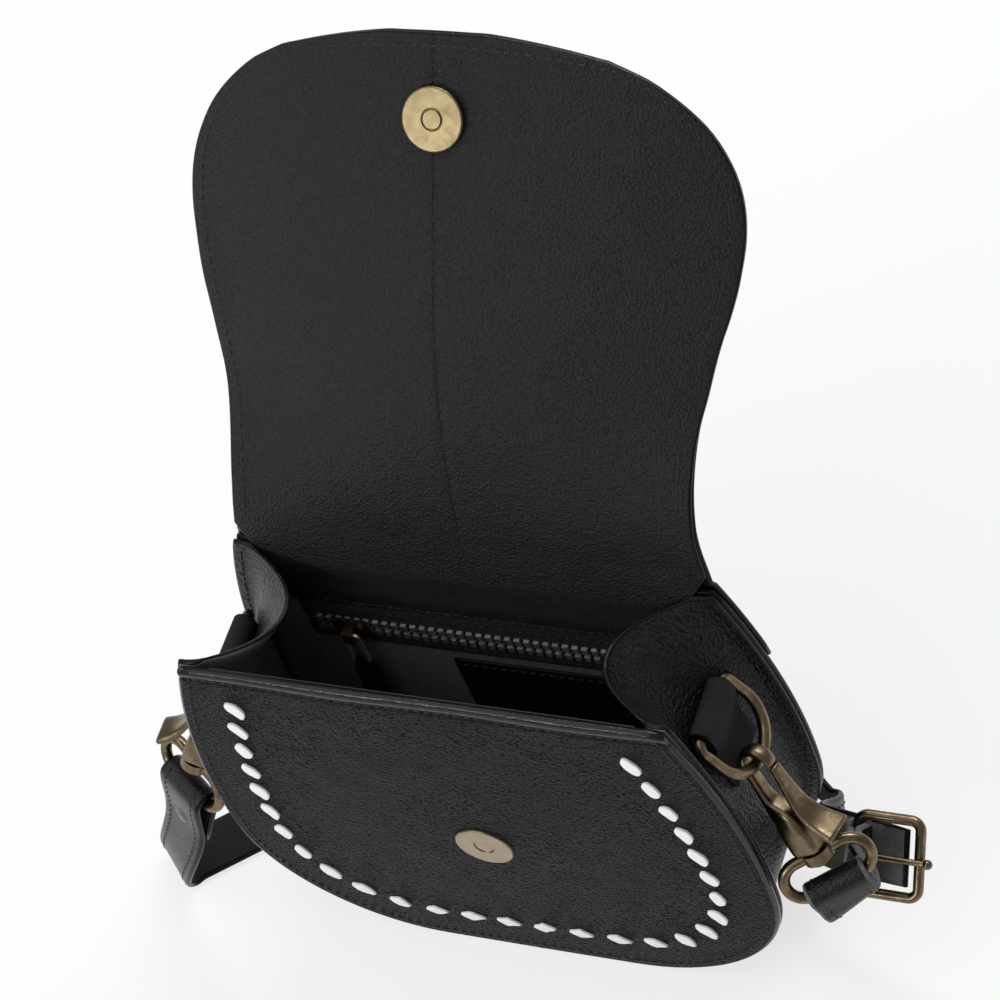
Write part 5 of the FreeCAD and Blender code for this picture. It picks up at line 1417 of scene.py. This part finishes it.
class HANDBAG_OT_strap(bpy.types.Operator):
    """Long strap: looped on the left eye ring, then on the floor to the buckle on the right"""

    bl_idname = "handbag.strap"
    bl_label = "Strap"

    loop_leg = 20 * MM
    rivet_drop = 14 * MM
    buckle_entry = 5.9 * MM
    tip_reach = 14.4 * MM
    tip_depth = 0.8 * MM
    lead_run = 11 * MM
    bend_pull = 40 * MM
    turn_pull = 45 * MM
    grey_end = 18
    rivet_profile = ((3.4, 0.0, 0), (3.4, 0.25, 0), (3.15, 0.65, 0), (2.5, 0.95, 0), (1.4, 1.12, 0), (0.05, 1.18, 0))

    def execute(self, context):
        sizes = context.scene.handbag_sizes
        width = sizes.strap_width
        leather = sizes.strap_leather
        bar, along = eye_bar_frame(-1)
        leg = square_to(LEG_DIRECTION, along)
        thick = along.cross(-leg)
        radius = EYE_HOLE + leather / 2
        flat = [spot(x * MM, y * MM, 0) for x, y in STRAP_FLAT_PLAN]
        flat_dir = (flat[1] - flat[0]).normalized()
        flat_width = flat_dir.cross(Z_AXIS)
        if along.dot(flat_width) < 0:
            along = -along
        edge = self.edge_stations()
        twist = swing((flat[1], flat_dir, flat_width), edge[0], self.bend_pull, 14)
        floor = [rest_on_floor(station, width, leather) for station in twist[:-1] + edge]
        inner_end = bar + leg * self.loop_leg - thick * (leather / 2)
        inner = swing((inner_end, -leg, along), (bar - thick * radius, -leg, along), self.loop_leg, 8)
        outer_end = bar + leg * self.loop_leg + thick * (leather / 2 + 0.1 * MM)
        outer = swing((bar + thick * radius, leg, along), (outer_end, leg, along), self.loop_leg, 8)
        flat_start = rest_on_floor((flat[0], flat_dir, flat_width), width, leather)
        turn = swing((outer_end, leg, along), flat_start, self.turn_pull, 18)
        loop = inner[:-1] + wrap(bar, leg, thick, radius, along)[:-1] + outer[:-1]
        stations = loop + turn + floor + self.lead_stations(floor[-1])
        parts = MeshParts()
        flesh = [4 if number > len(stations) - self.grey_end else 1 for number in range(len(stations) - 1)]
        band(parts, stations, sizes, (0, flesh, 2))
        made = parts.piece("strap_leather", chosen("strap", "dark_suede", "edge", "thread", "suede"))
        settle(made, "bag", "leather_black", "strap")
        self.add_rivet(bar + leg * self.rivet_drop, thick, leather)
        return {"FINISHED"}

    def edge_stations(self):
        """Stations of the strap where it stands on edge on the floor."""
        line = [spot(x * MM, y * MM, 0) for x, y in smooth_line(STRAP_EDGE_PLAN, 5)]
        return [(place, (after - before).normalized(), -Z_AXIS) for before, place, after in with_neighbours(line)]

    def lead_stations(self, floor_end):
        """Stations from the floor up through the buckle."""
        heel, bar, front = buckle_frame_axes()
        entry = heel - front * self.buckle_entry
        tip = heel + X_AXIS * self.tip_reach - front * self.tip_depth
        forward = (tip - entry).normalized()
        lead = entry - forward * self.lead_run
        stations = swing(floor_end, (lead, forward, -bar), self.bend_pull, 14)
        return stations[1:] + [(entry, forward, -bar), (tip, forward, -bar)]

    def add_rivet(self, middle, thick, leather):
        """Rivet with a low domed head on each side of the loop."""
        parts = MeshParts()
        for side in (1, -1):
            axis = thick * side
            parts.turned(self.rivet_profile, middle + axis * (leather * 0.98), axis, 28)
        made = parts.piece("strap_rivet_domed", chosen("dark_brass"))
        settle(made, "bag", "brass_pale", "strap_rivet")


class HANDBAG_OT_buckle(bpy.types.Operator):
    """Short doubled tab from the right eye ring to the buckle, with the buckle's frame and prong"""

    bl_idname = "handbag.buckle"
    bl_label = "Buckle"

    reach = 6 * MM
    bend_pull = 24 * MM
    layer_offset = 0.52

    def execute(self, context):
        sizes = context.scene.handbag_sizes
        leather = sizes.strap_leather
        bar, along = eye_bar_frame(1)
        down = square_to(TAB_DIRECTION, along)
        heel, heel_bar, _ = buckle_frame_axes()
        heel_leg = square_to(bar - heel, heel_bar)
        heel_along = heel_bar if heel_bar.dot(along) > 0 else -heel_bar
        middle = swing((bar + down * self.reach, down, along),
                       (heel + heel_leg * self.reach, -heel_leg, heel_along), self.bend_pull, 14)
        outer = self.layer(middle, leather, 1)
        inner = self.layer(middle, leather, -1)
        eye_thick = down.cross(along)
        heel_thick = (-heel_leg).cross(heel_along)
        eye_wrap = wrap(bar, down, eye_thick, EYE_HOLE + leather / 2, along)
        heel_wrap = wrap(heel, heel_leg, -heel_thick, HEEL_HOLE + leather / 2, heel_along)
        inner_back = [(place, -forward, width_dir) for place, forward, width_dir in reversed(inner)]
        stations = inner_back + eye_wrap + outer + heel_wrap
        parts = MeshParts()
        band(parts, stations, sizes, (0, 1, 2))
        made = parts.piece("strap_tab_leather", chosen("strap", "suede", "suede", "thread"))
        settle(made, "bag", "leather_black", "strap_tab")
        for node in ("buckle_frame", "buckle_prong"):
            dress(node, "antique")
        return {"FINISHED"}

    def layer(self, middle, leather, side):
        """One of the tab's two layers, beside the line between them."""
        stations = []
        for place, forward, width_dir in middle:
            thick = forward.cross(square_to(width_dir, forward))
            stations.append((place + thick * (side * leather * self.layer_offset), forward, width_dir))
        return stations


# Studio

class HANDBAG_OT_stage(bpy.types.Operator):
    """Pale floor, soft light and the camera"""

    bl_idname = "handbag.stage"
    bl_label = "Stage"

    # Camera fitted to the photograph: its place from the bag's origin, its directions and its lens in millimetres
    camera_place = Vector((397.4, -461.1, 930.5)) * MM
    camera_right = Vector((0.9161, 0.3021, -0.2638))
    camera_down = Vector((0.1034, -0.8134, -0.5725))
    camera_lens = 129.2
    floor_reach = 3.0
    floor_drop = 0.2 * MM
    floor_white = 0.7
    world_light = 0.34
    lit_spot = (0, 0.03, 0.1)
    # Name, place in metres from the bag's origin, width and height in metres, and power in watts
    lamps = (("lamp_key", (-0.55, -0.35, 1.3), (1.6, 1.6), 8.8), ("lamp_front", (-0.6, -1.2, 0.75), (0.8, 0.07), 7.0),
             ("lamp_back", (0.25, 0.95, 1.0), (0.9, 0.9), 3.5), ("lamp_edge", (0.05, 0.75, 1.15), (0.8, 0.06), 6.0))

    def execute(self, context):
        colours = context.scene.handbag_colours
        self.add_floor(colours)
        self.add_lights(context.scene)
        self.add_camera(context.scene)
        context.scene.view_settings.view_transform = "Standard"
        return {"FINISHED"}

    def add_floor(self, colours):
        """Large pale floor with a faint mottling."""
        parts = MeshParts()
        steps = [between(-self.floor_reach, self.floor_reach, share) for share in shares(9)]
        parts.grid([[Vector((x, y, -self.floor_drop)) for x in steps] for y in steps], 0)
        finish = self.floor_finish(colours.floor)
        parts.piece("studio_floor", [finish])

    def floor_finish(self, colour):
        """Pale finish that looks whiter to the camera and in reflections than the light makes it."""
        tree = FinishTree("studio_floor")
        tree.tone(tree.texture("Noise", {"Scale": 6.0, "Detail": 2.0}), colour, 0.985, 1.01)
        tree.surface({"Roughness": 0.8, "Specular IOR Level": 0.15})
        rays = tree.add("ShaderNodeLightPath").outputs
        seen = tree.math("ADD", rays["Is Camera Ray"], rays["Is Glossy Ray"])
        seen = tree.math("ADD", seen, rays["Is Transmission Ray"])
        share = tree.math("MULTIPLY", seen, self.floor_white, use_clamp=True)
        white = tree.add("ShaderNodeEmission", {"Color": (1.0, 1.0, 1.0, 1.0), "Strength": 1.0})
        mix = tree.add("ShaderNodeMixShader", {"Fac": share, 1: tree.shader.outputs["BSDF"],
                                               2: white.outputs["Emission"]})
        tree.fill(tree.nodes["Material Output"], {"Surface": mix.outputs["Shader"]})
        return tree.finish

    def add_lights(self, scene):
        """Soft lamps over the left, in front and at the back, a narrow one for the edges and an even pale world."""
        for name, place, size, power in self.lamps:
            self.add_lamp(name, spot(*place), size, power)
        world = bpy.data.worlds.new("studio_world")
        world.use_nodes = True
        background = world.node_tree.nodes["Background"]
        background.inputs["Color"].default_value = (1.0, 1.0, 1.0, 1.0)
        background.inputs["Strength"].default_value = self.world_light
        scene.world = world

    def add_lamp(self, name, place, size, power):
        """Flat lamp that faces the bag."""
        data = bpy.data.lights.new(name, "AREA")
        data.shape = "RECTANGLE"
        data.size, data.size_y = size
        data.energy = power
        lamp = bpy.data.objects.new(name, data)
        lamp.location = place
        lamp.rotation_euler = (spot(*self.lit_spot) - place).to_track_quat("-Z", "Y").to_euler()
        bpy.context.scene.collection.objects.link(lamp)

    def add_camera(self, scene):
        """Camera where the photograph was taken from."""
        data = bpy.data.cameras.new("studio_camera")
        data.lens = self.camera_lens
        data.sensor_width = 36.0
        camera = bpy.data.objects.new("studio_camera", data)
        right = self.camera_right.normalized()
        up = square_to(-self.camera_down, right)
        back = right.cross(up)
        turn = Matrix((right, up, back)).transposed()
        camera.matrix_world = Matrix.Translation(spot(*self.camera_place)) @ turn.to_4x4()
        scene.collection.objects.link(camera)
        scene.camera = camera


class HANDBAG_PT_sidebar(bpy.types.Panel):
    """Sizes, colours and steps of the handbag"""

    bl_idname = "HANDBAG_PT_sidebar"
    bl_label = "Saddle handbag"
    bl_space_type = "VIEW_3D"
    bl_region_type = "UI"
    bl_category = "Handbag"

    def draw(self, context):
        for group in (context.scene.handbag_sizes, context.scene.handbag_colours):
            box = self.layout.box()
            for name in group.__annotations__:
                box.prop(group, name)
        for operator in OPERATORS:
            self.layout.operator(operator.bl_idname)


OPERATORS = (
    HANDBAG_OT_front_panel, HANDBAG_OT_lacing, HANDBAG_OT_back_panel, HANDBAG_OT_gusset, HANDBAG_OT_linings,
    HANDBAG_OT_zip, HANDBAG_OT_snaps, HANDBAG_OT_flap, HANDBAG_OT_side_tabs, HANDBAG_OT_hardware, HANDBAG_OT_strap,
    HANDBAG_OT_buckle, HANDBAG_OT_stage,
)
CLASSES = (HandbagSizes, HandbagColours, *OPERATORS, HANDBAG_PT_sidebar)


def register():
    """Registers the classes and the scene's settings."""
    for entry in CLASSES:
        bpy.utils.register_class(entry)
    bpy.types.Scene.handbag_sizes = bpy.props.PointerProperty(type=HandbagSizes)
    bpy.types.Scene.handbag_colours = bpy.props.PointerProperty(type=HandbagColours)


def unregister():
    """Takes the classes and the scene's settings away again."""
    del bpy.types.Scene.handbag_colours
    del bpy.types.Scene.handbag_sizes
    for entry in reversed(CLASSES):
        bpy.utils.unregister_class(entry)


def main():
    """Builds every piece in order."""
    register()
    finishes.update(make_finishes(bpy.context.scene.handbag_colours))
    for operator in OPERATORS:
        group, name = operator.bl_idname.split(".")
        getattr(getattr(bpy.ops, group), name)()


if __name__ == "__main__":
    main()
